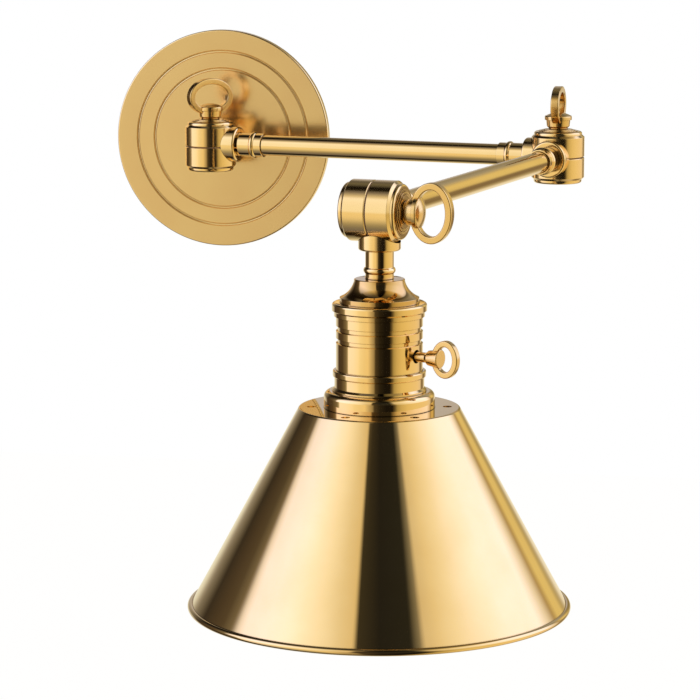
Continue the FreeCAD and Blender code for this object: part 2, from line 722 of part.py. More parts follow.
def rib_corners(top, radius):
    slope = s.shell_rib_depth / 3
    floor = radius - s.shell_rib_depth
    return [
        (radius, top - s.shell_rib_width),
        (floor, top - s.shell_rib_width + slope),
        (floor, top - slope),
        (radius, top),
    ]


def make_shell():
    top = -s.neck_length - s.shell_top
    seat = -s.neck_length - s.cap_height
    bottom = top - s.shell_length
    rim_end = top - s.shell_rim_length
    step_end = rim_end - s.shell_step_length
    bead_top = top - s.shell_bead_top
    bead_end = bead_top - s.shell_bead_length
    bead_round = bulge_radius(s.shell_bead_length, s.shell_bead_height)
    lip = bottom + s.shell_foot_lip_length
    bevel = s.shell_rib_depth / 2
    mouth = s.cap_skirt_radius + s.seat_clearance
    body = new_body("socket_shell")
    corners = [
        (s.shell_bore, bottom),
        (s.shell_foot_lip, bottom),
        (s.shell_foot_lip, lip),
        (s.shell_foot_radius, lip + s.shell_foot_lip_length),
        (s.shell_foot_radius, bead_end, bead_round),
        (s.shell_foot_radius, bead_top),
        (s.shell_radius, bead_top),
    ]
    for place in (s.shell_second_rib, s.shell_first_rib):
        corners += rib_corners(top - place, s.shell_radius)
    corners += [
        (s.shell_radius, step_end),
        (s.shell_step_radius, step_end + bevel),
        (s.shell_step_radius, rim_end),
        (s.shell_rim_radius, rim_end + s.shell_rim_slope),
        (s.shell_rim_radius, top - s.shell_rim_round, s.shell_rim_round),
        (s.shell_rim_radius - s.shell_rim_round, top),
        (mouth, top),
        (mouth, seat),
        (s.shell_bore, seat),
    ]
    turn(body, "Turning", corners)
    drill(body, "Key_hole", ZERO, -s.key_height, s.key_hole_radius, s.shell_rim_radius, s.shell_rim_radius)
    keep(body, "socket_shell", head_frame)


def make_shade_holder():
    top = -s.neck_length - s.shell_top - s.shell_length
    bottom = top - s.holder_height
    passage = s.lamp_collar_radius + s.lamp_collar_gap
    shoulder = s.holder_shoulder
    turned_piece("shade_holder", head_frame, [
        (passage, bottom),
        (s.holder_radius, bottom),
        (s.holder_radius, top - shoulder, shoulder),
        (s.holder_radius - shoulder, top),
        (s.shell_bore, top),
        (s.shell_bore, bottom + s.holder_lip),
        (passage, bottom + s.holder_lip),
    ])
    return bottom


def make_shade(top):
    base = top - s.shade_cone_height
    slant = "atan(" + ((s.shade_rim_radius - s.shade_top_radius) / s.shade_cone_height).text + ")"
    slant_angle = math.atan2((s.shade_rim_radius - s.shade_top_radius).value, s.shade_cone_height.value)
    down_share = Size("cos(" + slant + ")", math.cos(slant_angle))
    out_share = Size("sin(" + slant + ")", math.sin(slant_angle))
    # The wall measured level is thicker than the wall measured square to the cone.
    level_wall = s.shade_wall / down_share
    corner = s.shade_corner_round * down_share / (out_share + 1)
    drop = corner * down_share
    spread = corner * out_share
    body = new_body("shade")
    hole = s.lamp_collar_radius + s.lamp_collar_gap
    roll = s.shade_roll_radius
    inner_top = s.shade_top_radius - level_wall
    turn(body, "Cone", [
        (hole, top - s.shade_wall),
        (inner_top, top - s.shade_wall),
        (s.shade_rim_radius - level_wall, base),
        (s.shade_rim_radius, base),
        (s.shade_top_radius + spread, top - drop, s.shade_corner_round),
        (s.shade_top_radius - corner, top),
        (hole, top),
    ])
    rim = s.shade_rim_radius
    turn(body, "Rolled_rim", [
        (rim - roll, base, roll),
        (rim, base - roll, roll),
        (rim + roll, base, roll),
        (rim, base + roll, roll),
    ])
    drill(body, "Vent", s.vent_circle, ZERO, s.vent_radius, top, s.shade_wall * 2, role="XY_Plane")
    vent = body.Group[-1]
    ring = body.newObject("PartDesign::PolarPattern", "Vents")
    ring.Originals = [vent]
    ring.Axis = (vent.Profile[0], ["N_Axis"])
    body.Tip = ring
    keep(body, "shade", shade_frame)
    return ring


def make_lampholder(shade_top):
    top = -s.key_height - s.lampholder_below_key
    bottom = top - s.lampholder_length
    floor = top - s.lampholder_floor
    pocket_floor = floor + s.contact_pocket_depth
    bore = s.screw_shell_bore + s.screw_shell_wall + s.seat_clearance
    rivet = s.contact_rivet + s.seat_clearance
    shoulder = shade_top + s.holder_lip
    turned_piece("lampholder", head_frame, [
        (rivet, top),
        (rivet, pocket_floor),
        (s.screw_shell_eye, pocket_floor),
        (s.screw_shell_eye, floor),
        (bore, floor),
        (bore, bottom),
        (s.lamp_collar_radius, bottom),
        (s.lamp_collar_radius, shoulder),
        (s.lampholder_radius, shoulder),
        (s.lampholder_radius, top),
    ])
    outer = s.screw_shell_bore + s.screw_shell_wall
    eye_level = floor - s.screw_shell_wall
    turned_piece("lamp_screw_shell", head_frame, [
        (s.screw_shell_eye, floor),
        (outer, floor),
        (outer, floor - s.screw_shell_length),
        (s.screw_shell_bore, floor - s.screw_shell_length),
        (s.screw_shell_bore, eye_level),
        (s.screw_shell_eye, eye_level),
    ])
    turned_piece("lamp_centre_contact", head_frame, [
        (ZERO, pocket_floor - s.contact_thickness * 2),
        (s.contact_radius / 2, pocket_floor - s.contact_thickness * 2),
        (s.contact_radius, pocket_floor - s.contact_thickness),
        (s.contact_radius, pocket_floor),
        (s.contact_rivet, pocket_floor),
        (s.contact_rivet, top),
        (ZERO, top),
    ])
    ring_top = shade_top - s.shade_wall
    ring_bottom = ring_top - s.shade_ring_height
    hole = s.lamp_collar_radius + s.seat_clearance
    turned_piece("shade_ring", head_frame, ring_corners(hole, s.shade_ring_radius, ring_bottom, ring_top))


def make_switch():
    bottom = -s.key_height - s.lampholder_below_key
    top = bottom + s.switch_height
    body = new_body("switch_body")
    turn(body, "Block", [(ZERO, bottom), (s.switch_radius, bottom), (s.switch_radius, top), (ZERO, top)])
    drill(body, "Key_bore", ZERO, -s.key_height, s.key_shaft_radius + s.turning_clearance, s.switch_radius,
          s.switch_radius - s.key_shaft_start + s.end_clearance)
    seats = s.small_screw_radius + s.seat_clearance
    bore = new_sketch(body, "XZ_Plane", "Terminal_bore_outline")
    draw_circle(bore, ZERO, s.terminals_above_key - s.key_height, seats)
    through = pocket(body, "Terminal_bore", bore, s.switch_radius * 2)
    through.Midplane = True
    keep(body, "switch_body", head_frame)
    outer = s.shell_bore - s.seat_clearance
    liner = new_body("shell_liner")
    liner_bottom = -(s.liner_top + s.liner_length)
    turn(liner, "Tube", ring_corners(outer - s.liner_wall, outer, liner_bottom, -s.liner_top))
    drill(liner, "Key_hole", ZERO, -s.key_height, s.key_hole_radius, outer + s.overrun, outer)
    keep(liner, "shell_liner", head_frame)


def make_terminal_screws():
    screws = []
    for side in (90, -90):
        outward = head_frame.Rotation.multVec(heading(side))
        base = tilt_joint + DOWN * (s.key_height - s.terminals_above_key).value
        body = screw_body("terminal_screw_%d" % len(screws), s.switch_radius, s.small_screw_length)
        body.Placement = frame(base, outward, UP)
        screws.append(body)
    pair = doc.addObject("Part::Compound", "terminal_screws")
    pair.Links = screws
    keep(pair, "terminal_screws", Placement())


def make_key():
    body = new_body("key_blank")
    shell = s.shell_radius
    flare = shell + s.key_flare_start
    end = shell + s.key_knob_end
    turn(body, "Turning", [
        (ZERO, s.key_shaft_start),
        (s.key_shaft_radius, s.key_shaft_start),
        (s.key_shaft_radius, flare),
        (s.key_waist_radius, flare + s.key_flare_length),
        (s.key_knob_radius, end - s.key_knob_round, s.key_knob_round),
        (s.key_knob_radius - s.key_knob_round, end),
        (ZERO, end),
    ])
    sizes = (s.key_ring_long, s.key_ring_short, s.key_ring_band, s.key_ring_width)
    placement = frame(tilt_joint + DOWN * s.key_height.value, key_way, UP)
    ring_and_slot("key_ring", body, shell + s.key_ring_place, sizes, "switch_key", placement)


make_wall_plate()
make_strap()
make_wall_hardware()
make_knuckle("wall", ("wall_knuckle_lower", "wall_knuckle_upper"), wall_joint, UP, -OUT_OF_WALL, arm_one_way,
             heading(s.wall_ring_angle.value), s.wall_seam_drop)
make_fitting("wall_fitting", frame(wall_joint, -OUT_OF_WALL, UP), s.stub_length, s.nipple_radius,
             s.stub_length - s.nipple_grip)
make_arm("arm_one", wall_joint, arm_one_way, s.arm_one_length)
make_knuckle("elbow", ("elbow_knuckle_lower", "elbow_knuckle_upper"), elbow_joint, UP, -arm_one_way,
             arm_two_way, heading(s.elbow_ring_angle.value), ZERO)
make_arm("arm_two", elbow_joint, arm_two_way, s.arm_two_length)
make_knuckle("tilt", ("tilt_knuckle_left", "tilt_knuckle_right"), tilt_joint, tilt_axis, -arm_two_way, DOWN,
             UP, s.tilt_seam_shift)
make_neck()
make_cap()
make_shell()
shade_level = make_shade_holder()
vents = make_shade(shade_level)
make_lampholder(shade_level)
make_switch()
make_terminal_screws()
make_key()
doc.recompute()
vents.Angle = 360
vents.Occurrences = 6
doc.recompute()

faults = []
for piece in doc.Objects:
    if "Invalid" in piece.State or "Error" in piece.State:
        faults.append(piece.Name + " " + " ".join(piece.State))
for piece in finished:
    if piece.Shape.isNull() or not piece.Shape.isValid():
        faults.append(piece.Label + " has no valid shape")
if faults:
    raise SystemExit("\n".join(faults))

os.makedirs("parts", exist_ok=True)
for piece in finished:
    piece.Shape.exportStep(os.path.join("parts", piece.Label + ".step"))
    print("%-26s solids %d  volume %10.1f" % (piece.Label, len(piece.Shape.Solids), piece.Shape.Volume))
print("joints at", wall_joint, elbow_joint, tilt_joint)
print("tilt axis", tilt_axis, "key way", key_way)
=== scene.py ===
import bpy
import json
import math
from mathutils import Matrix, Vector


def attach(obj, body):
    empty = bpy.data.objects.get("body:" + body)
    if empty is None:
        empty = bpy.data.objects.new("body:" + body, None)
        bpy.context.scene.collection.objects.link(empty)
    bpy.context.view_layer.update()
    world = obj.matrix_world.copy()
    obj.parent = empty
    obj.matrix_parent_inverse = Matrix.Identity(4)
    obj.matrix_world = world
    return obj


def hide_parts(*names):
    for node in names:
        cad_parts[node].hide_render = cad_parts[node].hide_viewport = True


# Swing-arm wall sconce in polished brass. Everything is in metres in the part's own frame:
# wall plane at y = 0, +Z up, +X right. Piece dictionaries are in millimetres, the studio's in metres.

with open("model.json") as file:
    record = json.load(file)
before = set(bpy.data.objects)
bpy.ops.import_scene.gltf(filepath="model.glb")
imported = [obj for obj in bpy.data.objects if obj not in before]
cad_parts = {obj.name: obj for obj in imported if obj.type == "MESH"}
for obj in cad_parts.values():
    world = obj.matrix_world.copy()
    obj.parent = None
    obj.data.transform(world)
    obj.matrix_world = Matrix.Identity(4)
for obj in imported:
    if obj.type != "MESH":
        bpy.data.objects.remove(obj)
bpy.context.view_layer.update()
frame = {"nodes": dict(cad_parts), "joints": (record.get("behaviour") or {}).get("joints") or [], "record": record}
scene = bpy.context.scene
mm = 0.001
up = Vector((0, 0, 1))
print("frame loaded")

joints = {joint["name"]: joint for joint in frame["joints"]}
wallPivot = Vector(joints["wall_swing"]["pos_m"])
elbowPivot = Vector(joints["elbow_swing"]["pos_m"])
tiltPivot = Vector(joints["head_tilt"]["pos_m"])
tiltAxis = Vector(joints["head_tilt"]["axis"]).normalized()
keyPivot = Vector(joints["key_turn"]["pos_m"])
keyWay = Vector(joints["key_turn"]["axis"]).normalized()
armOneWay = (elbowPivot - wallPivot).normalized()
armTwoWay = (tiltPivot - elbowPivot).normalized()


# small tools
def hexColour(code):  # sRGB hex to linear
    parts = [int(code[place:place + 2], 16) / 255 for place in (0, 2, 4)]
    linear = [part / 12.92 if part <= 0.04045 else ((part + 0.055) / 1.055) ** 2.4 for part in parts]
    return (*linear, 1.0)


def addNode(tree, kind, settings=None, values=None, links=None):
    node = tree.nodes.new(kind)
    for name, value in (settings or {}).items():
        setattr(node, name, value)
    for name, value in (values or {}).items():
        node.inputs[name].default_value = value
    for name, source in (links or {}).items():
        tree.links.new(source, node.inputs[name])
    return node


def setRamp(node, stops):
    ramp = node.color_ramp
    while len(ramp.elements) < len(stops):
        ramp.elements.new(0.5)
    for element, (place, colour) in zip(ramp.elements, stops):
        element.position = place
        element.color = colour


def basis(origin, alongZ, alongX):
    side = alongZ.cross(alongX)
    turn = Matrix((alongX, side, alongZ)).transposed()
    return Matrix.Translation(origin) @ turn.to_4x4()


def deselectAll():
    bpy.ops.object.select_all(action="DESELECT")


def makeActive(piece):
    deselectAll()
    piece.select_set(True)
    bpy.context.view_layer.objects.active = piece


def arc(centreR, centreZ, radius, startAngle, endAngle, steps=8):
    angles = [math.radians(startAngle + (endAngle - startAngle) * step / steps) for step in range(steps + 1)]
    return [(centreR + radius * math.cos(angle), centreZ + radius * math.sin(angle)) for angle in angles]


def bulge(radius, start, end, height, steps=8):  # a bead's outline, standing out from a cylinder
    half = (end - start) / 2
    sweep = (half * half + height * height) / (2 * height)
    reach = math.degrees(math.asin(half / sweep))
    return arc(radius + height - sweep, (start + end) / 2, sweep, -reach, reach, steps)


# The pole is the least radius of an outline, and points closer than the weld are merged.
turning = {"segments": 128, "pole": 0.004, "weld": 0.02, "smoothAngle": 34}


def turned(name, outline, closed=False, segments=turning["segments"]):
    # A circle is drawn out along the outline of (radius, height) points, as on a lathe.
    deselectAll()
    points = [(max(radius, turning["pole"]) * mm, height * mm) for radius, height in outline]
    if closed:
        points.append(points[0])
    bpy.ops.mesh.primitive_circle_add(vertices=segments, radius=points[0][0], location=(0, 0, 0))
    piece = bpy.context.object
    piece.name = name
    bpy.ops.object.mode_set(mode="EDIT")
    bpy.ops.mesh.select_all(action="SELECT")
    bpy.ops.transform.translate(value=(0, 0, points[0][1]))
    for (radius, height), (lastRadius, lastHeight) in zip(points[1:], points):
        bpy.ops.mesh.extrude_region_move(TRANSFORM_OT_translate={"value": (0, 0, height - lastHeight)})
        grow = radius / lastRadius
        bpy.ops.transform.resize(value=(grow, grow, 1), center_override=(0, 0, height))
    bpy.ops.mesh.select_all(action="SELECT")
    bpy.ops.mesh.remove_doubles(threshold=turning["weld"] * mm)
    bpy.ops.mesh.normals_make_consistent(inside=False)
    bpy.ops.object.mode_set(mode="OBJECT")
    return piece


def softenEdges(piece, width, segments=3, angle=30):
    makeActive(piece)
    bevel = piece.modifiers.new("Edges", "BEVEL")
    bevel.width = width * mm
    bevel.segments = segments
    bevel.limit_method = "ANGLE"
    bevel.angle_limit = math.radians(angle)
    bevel.use_clamp_overlap = True
    bpy.ops.object.modifier_apply(modifier=bevel.name)


def cutAway(piece, cutter):
    makeActive(piece)
    boolean = piece.modifiers.new("Cut", "BOOLEAN")
    boolean.operation = "DIFFERENCE"
    boolean.solver = "EXACT"
    boolean.object = cutter
    bpy.ops.object.modifier_apply(modifier=boolean.name)
    bpy.data.objects.remove(cutter, do_unlink=True)


def seat(piece, place):  # moves a piece made at the origin to its place, and leaves the place in its mesh
    makeActive(piece)
    piece.matrix_world = place
    bpy.ops.object.transform_apply(location=True, rotation=True, scale=True)


def joinPieces(name, pieces):
    makeActive(pieces[0])
    for piece in pieces[1:]:
        piece.select_set(True)
    bpy.ops.object.join()
    pieces[0].name = name
    return pieces[0]


def copyPiece(piece, name):
    double = piece.copy()
    double.data = piece.data.copy()
    double.name = name
    scene.collection.objects.link(double)
    return double


def finishPiece(piece, place, material, body, node):
    seat(piece, place)
    bpy.ops.object.shade_smooth_by_angle(angle=math.radians(turning["smoothAngle"]))
    weighted = piece.modifiers.new("Normals", "WEIGHTED_NORMAL")
    weighted.mode = "FACE_AREA"
    weighted.keep_sharp = True
    bpy.ops.object.modifier_apply(modifier=weighted.name)
    piece.data.materials.clear()
    piece.data.materials.append(material)
    piece.data.name = piece.name
    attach(piece, body)
    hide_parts(node)


# finishes
def shadedMaterial(name):
    material = bpy.data.materials.new(name)
    material.use_nodes = True
    tree = material.node_tree
    tree.nodes.clear()
    shader = addNode(tree, "ShaderNodeBsdfPrincipled")
    addNode(tree, "ShaderNodeOutputMaterial", links={"Surface": shader.outputs["BSDF"]})
    return material, tree, shader


# Lathe-polished brass under clear lacquer: deep reflections, faint turning lines, slightly uneven colour, and dark
# brown painted shade in its corners.
polishedBrass = {
    "colour": "f3d499", "deepColour": "eac684", "roughness": (0.015, 0.04), "coat": 0.2,
    "coatRoughness": 0.02, "lineSpacing": 0.5, "lineDepth": 0.0012, "cloudSize": 24, "paintedCornerShade": "35230c",
}
# Buffed brass of the knuckles: the same metal with a softer sheen.
buffedBrass = dict(polishedBrass, roughness=(0.09, 0.13), coatRoughness=0.08, lineDepth=0.0004)
# Bright spun brass of the shade.
spunBrass = dict(polishedBrass, roughness=(0.015, 0.035), coatRoughness=0.015, lineDepth=0.0008)
# Drawn brass of the arm tubes, a little softer.
tubeBrass = dict(polishedBrass, roughness=(0.06, 0.1), coatRoughness=0.05)
# The cap's brass, painted darker and browner: painted shade for the dimmer reflections the cap shows, the metal
# being the same as the rest.
shadedCapBrass = dict(polishedBrass, colour="dfbb7c", deepColour="d0a663")
# Satin brass, brushed and lacquered: broad soft reflections.
satinBrass = {
    "colour": "e9c88a", "deepColour": "dab26c", "roughness": (0.14, 0.22), "coat": 0.15, "coatRoughness": 0.1,
    "lineSpacing": 0.35, "lineDepth": 0.0008, "cloudSize": 30, "paintedCornerShade": "76541f",
}
# The plate: a fine even grain, with its colour painted paler than the rest as painted light, for the brighter
# light its face reflects.
plateBrassPaintedPaler = {
    "colour": "f7dfab", "deepColour": "eecd9a", "roughness": (0.14, 0.22), "coat": 0.15, "coatRoughness": 0.1,
    "lineSpacing": 0.35, "lineDepth": 0.005, "cloudSize": 36, "paintedCornerShade": "35230c",
}
# Painted shade: the colour turns dark brown in corners and grooves, by how closed in they are, standing in for the
# shade that falls there.
paintedCornerShade = {"reach": 1.2, "closed": 0.4, "open": 0.85}


def makeBrass(name, look, across):
    # across scales how fast the lines change along X, Y and Z; a small value draws them out that way
    material, tree, shader = shadedMaterial(name)
    place = addNode(tree, "ShaderNodeTexCoord").outputs["Object"]
    stretched = addNode(tree, "ShaderNodeMapping", values={"Scale": across}, links={"Vector": place})
    lines = addNode(tree, "ShaderNodeTexNoise", values={
        "Scale": 1 / (look["lineSpacing"] * mm), "Detail": 2.0}, links={
            "Vector": stretched.outputs["Vector"]})
    clouds = addNode(tree, "ShaderNodeTexNoise", values={
        "Scale": 1 / (look["cloudSize"] * mm), "Detail": 3.0}, links={"Vector": place})
    tint = addNode(tree, "ShaderNodeMix", {"data_type": "RGBA"}, links={"Factor": clouds.outputs["Fac"]})
    tint.inputs["A"].default_value = hexColour(look["deepColour"])
    tint.inputs["B"].default_value = hexColour(look["colour"])
    # painted shade: ambient occlusion darkens the colour in corners and grooves
    corners = addNode(tree, "ShaderNodeAmbientOcclusion", {"samples": 8}, {"Distance": paintedCornerShade["reach"] * mm})
    unshadedShare = addNode(tree, "ShaderNodeMapRange", {"interpolation_type": "SMOOTHSTEP"}, {
        "From Min": paintedCornerShade["closed"], "From Max": paintedCornerShade["open"]}, {"Value": corners.outputs["AO"]})
    cornerShaded = addNode(tree, "ShaderNodeMix", {"data_type": "RGBA"}, links={"Factor": unshadedShare.outputs["Result"]})
    cornerShaded.inputs["A"].default_value = hexColour(look["paintedCornerShade"])
    tree.links.new(tint.outputs["Result"], cornerShaded.inputs["B"])
    low, high = look["roughness"]
    rough = addNode(tree, "ShaderNodeMapRange", values={"To Min": low, "To Max": high},
                    links={"Value": lines.outputs["Fac"]})
    bump = addNode(tree, "ShaderNodeBump", values={"Distance": look["lineDepth"] * mm, "Strength": 1.0},
                   links={"Height": lines.outputs["Fac"]})
    shader.inputs["Metallic"].default_value = 1.0
    shader.inputs["Coat Weight"].default_value = look["coat"]
    shader.inputs["Coat Roughness"].default_value = look["coatRoughness"]
    tree.links.new(cornerShaded.outputs["Result"], shader.inputs["Base Color"])
    tree.links.new(rough.outputs["Result"], shader.inputs["Roughness"])
    tree.links.new(bump.outputs["Normal"], shader.inputs["Normal"])
    return material


plainFinishes = {
    # zinc-plated steel: cool, slightly blotched
    "plated_steel": {
        "colours": ("9fa0a1", "c4c5c4"), "metallic": 1.0, "roughness": (0.25, 0.4), "grain": 3.0},
    # earth screw dyed green over the plating
    "green_screw": {"colours": ("1c5a31", "2a7a45"), "metallic": 0.6, "roughness": (0.3, 0.42), "grain": 2.0},
    # clear gold insulation on the leads
    "lead_cover": {"colours": ("8a6a35", "a58447"), "metallic": 0.0, "roughness": (0.35, 0.5), "grain": 4.0},
    # vulcanised fibre: brown card with a fibrous fleck
    "fibre": {"colours": ("6b4d33", "8a6a4b"), "metallic": 0.0, "roughness": (0.6, 0.8), "grain": 0.8},
    # moulded phenolic: near black with a soft gloss
    "dark_moulding": {
        "colours": ("191614", "231f1c"), "metallic": 0.0, "roughness": (0.28, 0.38), "grain": 1.5},
    # glazed porcelain: warm white, a faint waviness in the glaze
    "porcelain": {"colours": ("e8e3d6", "f1ede2"), "metallic": 0.0, "roughness": (0.12, 0.2), "grain": 9.0},
}


def makePlain(name, look):
    material, tree, shader = shadedMaterial(name)
    place = addNode(tree, "ShaderNodeTexCoord").outputs["Object"]
    grain = addNode(tree, "ShaderNodeTexNoise", values={"Scale": 1 / (look["grain"] * mm), "Detail": 4.0},
                    links={"Vector": place})
    tint = addNode(tree, "ShaderNodeMix", {"data_type": "RGBA"}, links={"Factor": grain.outputs["Fac"]})
    tint.inputs["A"].default_value = hexColour(look["colours"][0])
    tint.inputs["B"].default_value = hexColour(look["colours"][1])
    low, high = look["roughness"]
    rough = addNode(tree, "ShaderNodeMapRange", values={"To Min": low, "To Max": high},
                    links={"Value": grain.outputs["Fac"]})
    shader.inputs["Metallic"].default_value = look["metallic"]
    tree.links.new(tint.outputs["Result"], shader.inputs["Base Color"])
    tree.links.new(rough.outputs["Result"], shader.inputs["Roughness"])
    return material


levelLines = (0.02, 0.02, 1.0)    # lines that run round a vertical axis
plateLines = (0.6, 0.05, 0.6)
evenLines = (0.35, 0.35, 0.35)
finishes = {name: makePlain(name, look) for name, look in plainFinishes.items()}
finishes["polished_brass"] = makeBrass("polished_brass", polishedBrass, levelLines)
finishes["satin_brass"] = makeBrass("satin_brass", satinBrass, evenLines)
plateFinishPaintedPaler = makeBrass("satin_brass_plate_painted_paler", plateBrassPaintedPaler, plateLines)
tubeFinish = makeBrass("polished_brass_tube", tubeBrass, evenLines)
buffedFinish = makeBrass("buffed_brass", buffedBrass, evenLines)
spunFinish = makeBrass("spun_brass", spunBrass, levelLines)
shadedCapFinish = makeBrass("cap_brass_painted_darker", shadedCapBrass, levelLines)
slots = {part["node"]: part["material_slot"] for part in frame["record"]["subparts"]}
for nodeName, nodeObject in frame["nodes"].items():
    nodeObject.data.materials.clear()
    nodeObject.data.materials.append(finishes[slots[nodeName]])
print("finishes made")

# wall plate
plate = {
    "radius": 69.5, "thickness": 5.0, "edgeRound": 0.9, "bore": 5.05, "recessRadius": 64.0,
    "recessDepth": 3.4, "grooves": (55.8, 44.6), "grooveWidth": 2.0, "grooveDepth": 1.05,
}


def makePlate():
    face = plate["thickness"]
    outline = [(plate["bore"], plate["recessDepth"]), (plate["recessRadius"], plate["recessDepth"])]
    outline += [(plate["recessRadius"], 0), (plate["radius"], 0)]
    edge = plate["edgeRound"]
    outline += arc(plate["radius"] - edge, face - edge, edge, 0, 90, 6)
    for groove in plate["grooves"]:
        half = plate["grooveWidth"] / 2
        sweep = (half ** 2 + plate["grooveDepth"] ** 2) / (2 * plate["grooveDepth"])
        reach = math.degrees(math.asin(half / sweep))
        outline += arc(groove, face - plate["grooveDepth"] + sweep, sweep, reach - 90, -reach - 90, 6)
    outline += [(plate["bore"], face)]
    piece = turned("wallPlate", outline, closed=True, segments=192)
    place = basis(Vector((0, 0, 0)), Vector((0, -1, 0)), Vector((1, 0, 0)))
    finishPiece(piece, place, plateFinishPaintedPaler, "wall", "wall_plate")


makePlate()
print("plate made")

# knuckles: two halves, a stepped washer and a thumbscrew with an oval ring
knuckle = {
    "radius": 16.0, "barrelEnd": 13.4, "bevel": 1.3, "capRadius": 14.5, "capRound": 1.4, "halfLength": 15.6,
    "seamGap": 0.5, "seamBevel": 0.4, "screwHole": 3.05, "collarRadius": 11.0, "collarEnd": 20.3,
    "collarRound": 1.3, "collarStart": 9.0, "saddleGap": 0.14, "softEdge": 0.2, "collarSoftEdge": 0.15,
    "collarCrease": 50,
}
washer = {
    "steps": (11.8, 10.2, 8.7), "stepHeight": 0.4, "hole": 3.05, "lineWidth": 0.6, "lineDepth": 0.3,
    "softEdge": 0.12,
}
thumbscrew = {
    "shaft": 3.0, "reach": 11.0, "tip": 0.6, "neckRadius": 5.8, "neckStart": 1.3, "knobStart": 2.2,
    "foot": 6.9, "footBevel": 0.8, "waist": 7.3, "bodyLength": 4.6, "flange": 8.2, "flangeLength": 2.6,
    "flangeRound": 0.9, "dome": 1.9, "softEdge": 0.15, "creaseAngle": 40,
}
thumbRing = {"long": 15.75, "short": 11.55, "band": 3.7, "width": 5.0, "centre": 15.4, "edge": 0.7}


def makeBarrel(name, hollow):
    gap = knuckle["seamGap"] / 2
    radius, end, bevel = knuckle["radius"], knuckle["halfLength"], knuckle["bevel"]
    inner = knuckle["screwHole"] if hollow else 0
    outline = [(inner, gap), (radius - knuckle["seamBevel"], gap), (radius, gap + knuckle["seamBevel"])]
    outline += [(radius, knuckle["barrelEnd"] - bevel), (radius - bevel, knuckle["barrelEnd"])]
    outline += [(knuckle["capRadius"], knuckle["barrelEnd"])]
    rim = knuckle["capRound"]
    outline += arc(knuckle["capRadius"] - rim, end - rim, rim, 0, 90, 6) + [(inner, end)]
    barrel = turned(name, outline, closed=hollow)
    softenEdges(barrel, knuckle["softEdge"])
    return barrel


def makeCollar(name):
    rim = knuckle["collarRound"]
    outline = [(0, knuckle["collarStart"]), (knuckle["collarRadius"], knuckle["collarStart"])]
    outline += arc(knuckle["collarRadius"] - rim, knuckle["collarEnd"] - rim, rim, 0, 90, 6)
    outline += [(0, knuckle["collarEnd"])]
    collar = turned(name, outline, segments=112)
    seat(collar, basis(Vector((0, 0, 0)), Vector((1, 0, 0)), up))
    deselectAll()
    cutterHeight = 4 * knuckle["collarRadius"] * mm
    cutterRadius = (knuckle["radius"] + knuckle["saddleGap"]) * mm
    bpy.ops.mesh.primitive_cylinder_add(vertices=160, radius=cutterRadius, depth=cutterHeight)
    cutAway(collar, bpy.context.object)
    softenEdges(collar, knuckle["collarSoftEdge"], segments=2, angle=knuckle["collarCrease"])
    return collar


def makeWasher(name):
    base = knuckle["halfLength"]
    first = washer["steps"][0]
    outline = [(washer["hole"], base), (first, base), (first, base + washer["stepHeight"])]
    for level, radius in enumerate(washer["steps"][1:], 1):
        height = base + washer["stepHeight"] * level
        outline += [(radius + washer["lineWidth"], height), (radius, height - washer["lineDepth"])]
        outline += [(radius, height + washer["stepHeight"])]
    outline += [(washer["hole"], base + washer["stepHeight"] * len(washer["steps"]))]
    piece = turned(name, outline, closed=True)
    softenEdges(piece, washer["softEdge"], 2)
    return piece


def makeThumbscrew(name):
    face = knuckle["halfLength"]
    knob = face + thumbscrew["knobStart"]
    flange = knob + thumbscrew["bodyLength"]
    top = flange + thumbscrew["flangeLength"]
    rim, bevel = thumbscrew["flangeRound"], thumbscrew["footBevel"]
    outline = [(0, -thumbscrew["reach"]), (thumbscrew["shaft"] - thumbscrew["tip"], -thumbscrew["reach"])]
    outline += [(thumbscrew["shaft"], thumbscrew["tip"] - thumbscrew["reach"])]
    outline += [(thumbscrew["shaft"], face + thumbscrew["neckStart"])]
    outline += [(thumbscrew["neckRadius"], face + thumbscrew["neckStart"]), (thumbscrew["neckRadius"], knob)]
    outline += [(thumbscrew["foot"] - bevel, knob), (thumbscrew["foot"], knob + bevel)]
    outline += [(thumbscrew["waist"], flange), (thumbscrew["flange"], flange)]
    outline += arc(thumbscrew["flange"] - rim, top - rim, rim, 0, 90, 5)
    half = thumbscrew["flange"] - rim
    sweep = (half ** 2 + thumbscrew["dome"] ** 2) / (2 * thumbscrew["dome"])
    reach = math.degrees(math.asin(half / sweep))
    outline += arc(0, top + thumbscrew["dome"] - sweep, sweep, 90 - reach, 90, 8)[1:]
    piece = turned(name, outline)
    softenEdges(piece, thumbscrew["softEdge"], angle=thumbscrew["creaseAngle"])
    return piece


def makeRing(name, size):
    # an oval band standing in the XZ plane of its screw, its middle at the size's centre height
    deselectAll()
    bpy.ops.mesh.primitive_circle_add(vertices=112, radius=1, location=(0, 0, 0))
    piece = bpy.context.object
    piece.name = name
    bpy.ops.object.mode_set(mode="EDIT")
    bpy.ops.mesh.select_all(action="SELECT")
    bpy.ops.transform.resize(value=(size["long"] * mm, size["short"] * mm, 1), center_override=(0, 0, 0))
    bpy.ops.mesh.extrude_region_move(TRANSFORM_OT_translate={"value": (0, 0, 0)})
    inner = [(size[side] - size["band"]) / size[side] for side in ("long", "short")]
    bpy.ops.transform.resize(value=(inner[0], inner[1], 1), center_override=(0, 0, 0))
    bpy.ops.mesh.select_all(action="SELECT")
    bpy.ops.mesh.extrude_region_move(TRANSFORM_OT_translate={"value": (0, 0, size["width"] * mm)})
    bpy.ops.mesh.select_all(action="SELECT")
    bpy.ops.transform.translate(value=(0, 0, -size["width"] * mm / 2))
    bpy.ops.mesh.normals_make_consistent(inside=False)
    bpy.ops.object.mode_set(mode="OBJECT")
    softenEdges(piece, size["edge"], 5)
    seat(piece, basis(Vector((0, 0, size["centre"] * mm)), Vector((0, -1, 0)), Vector((1, 0, 0))))
    return piece


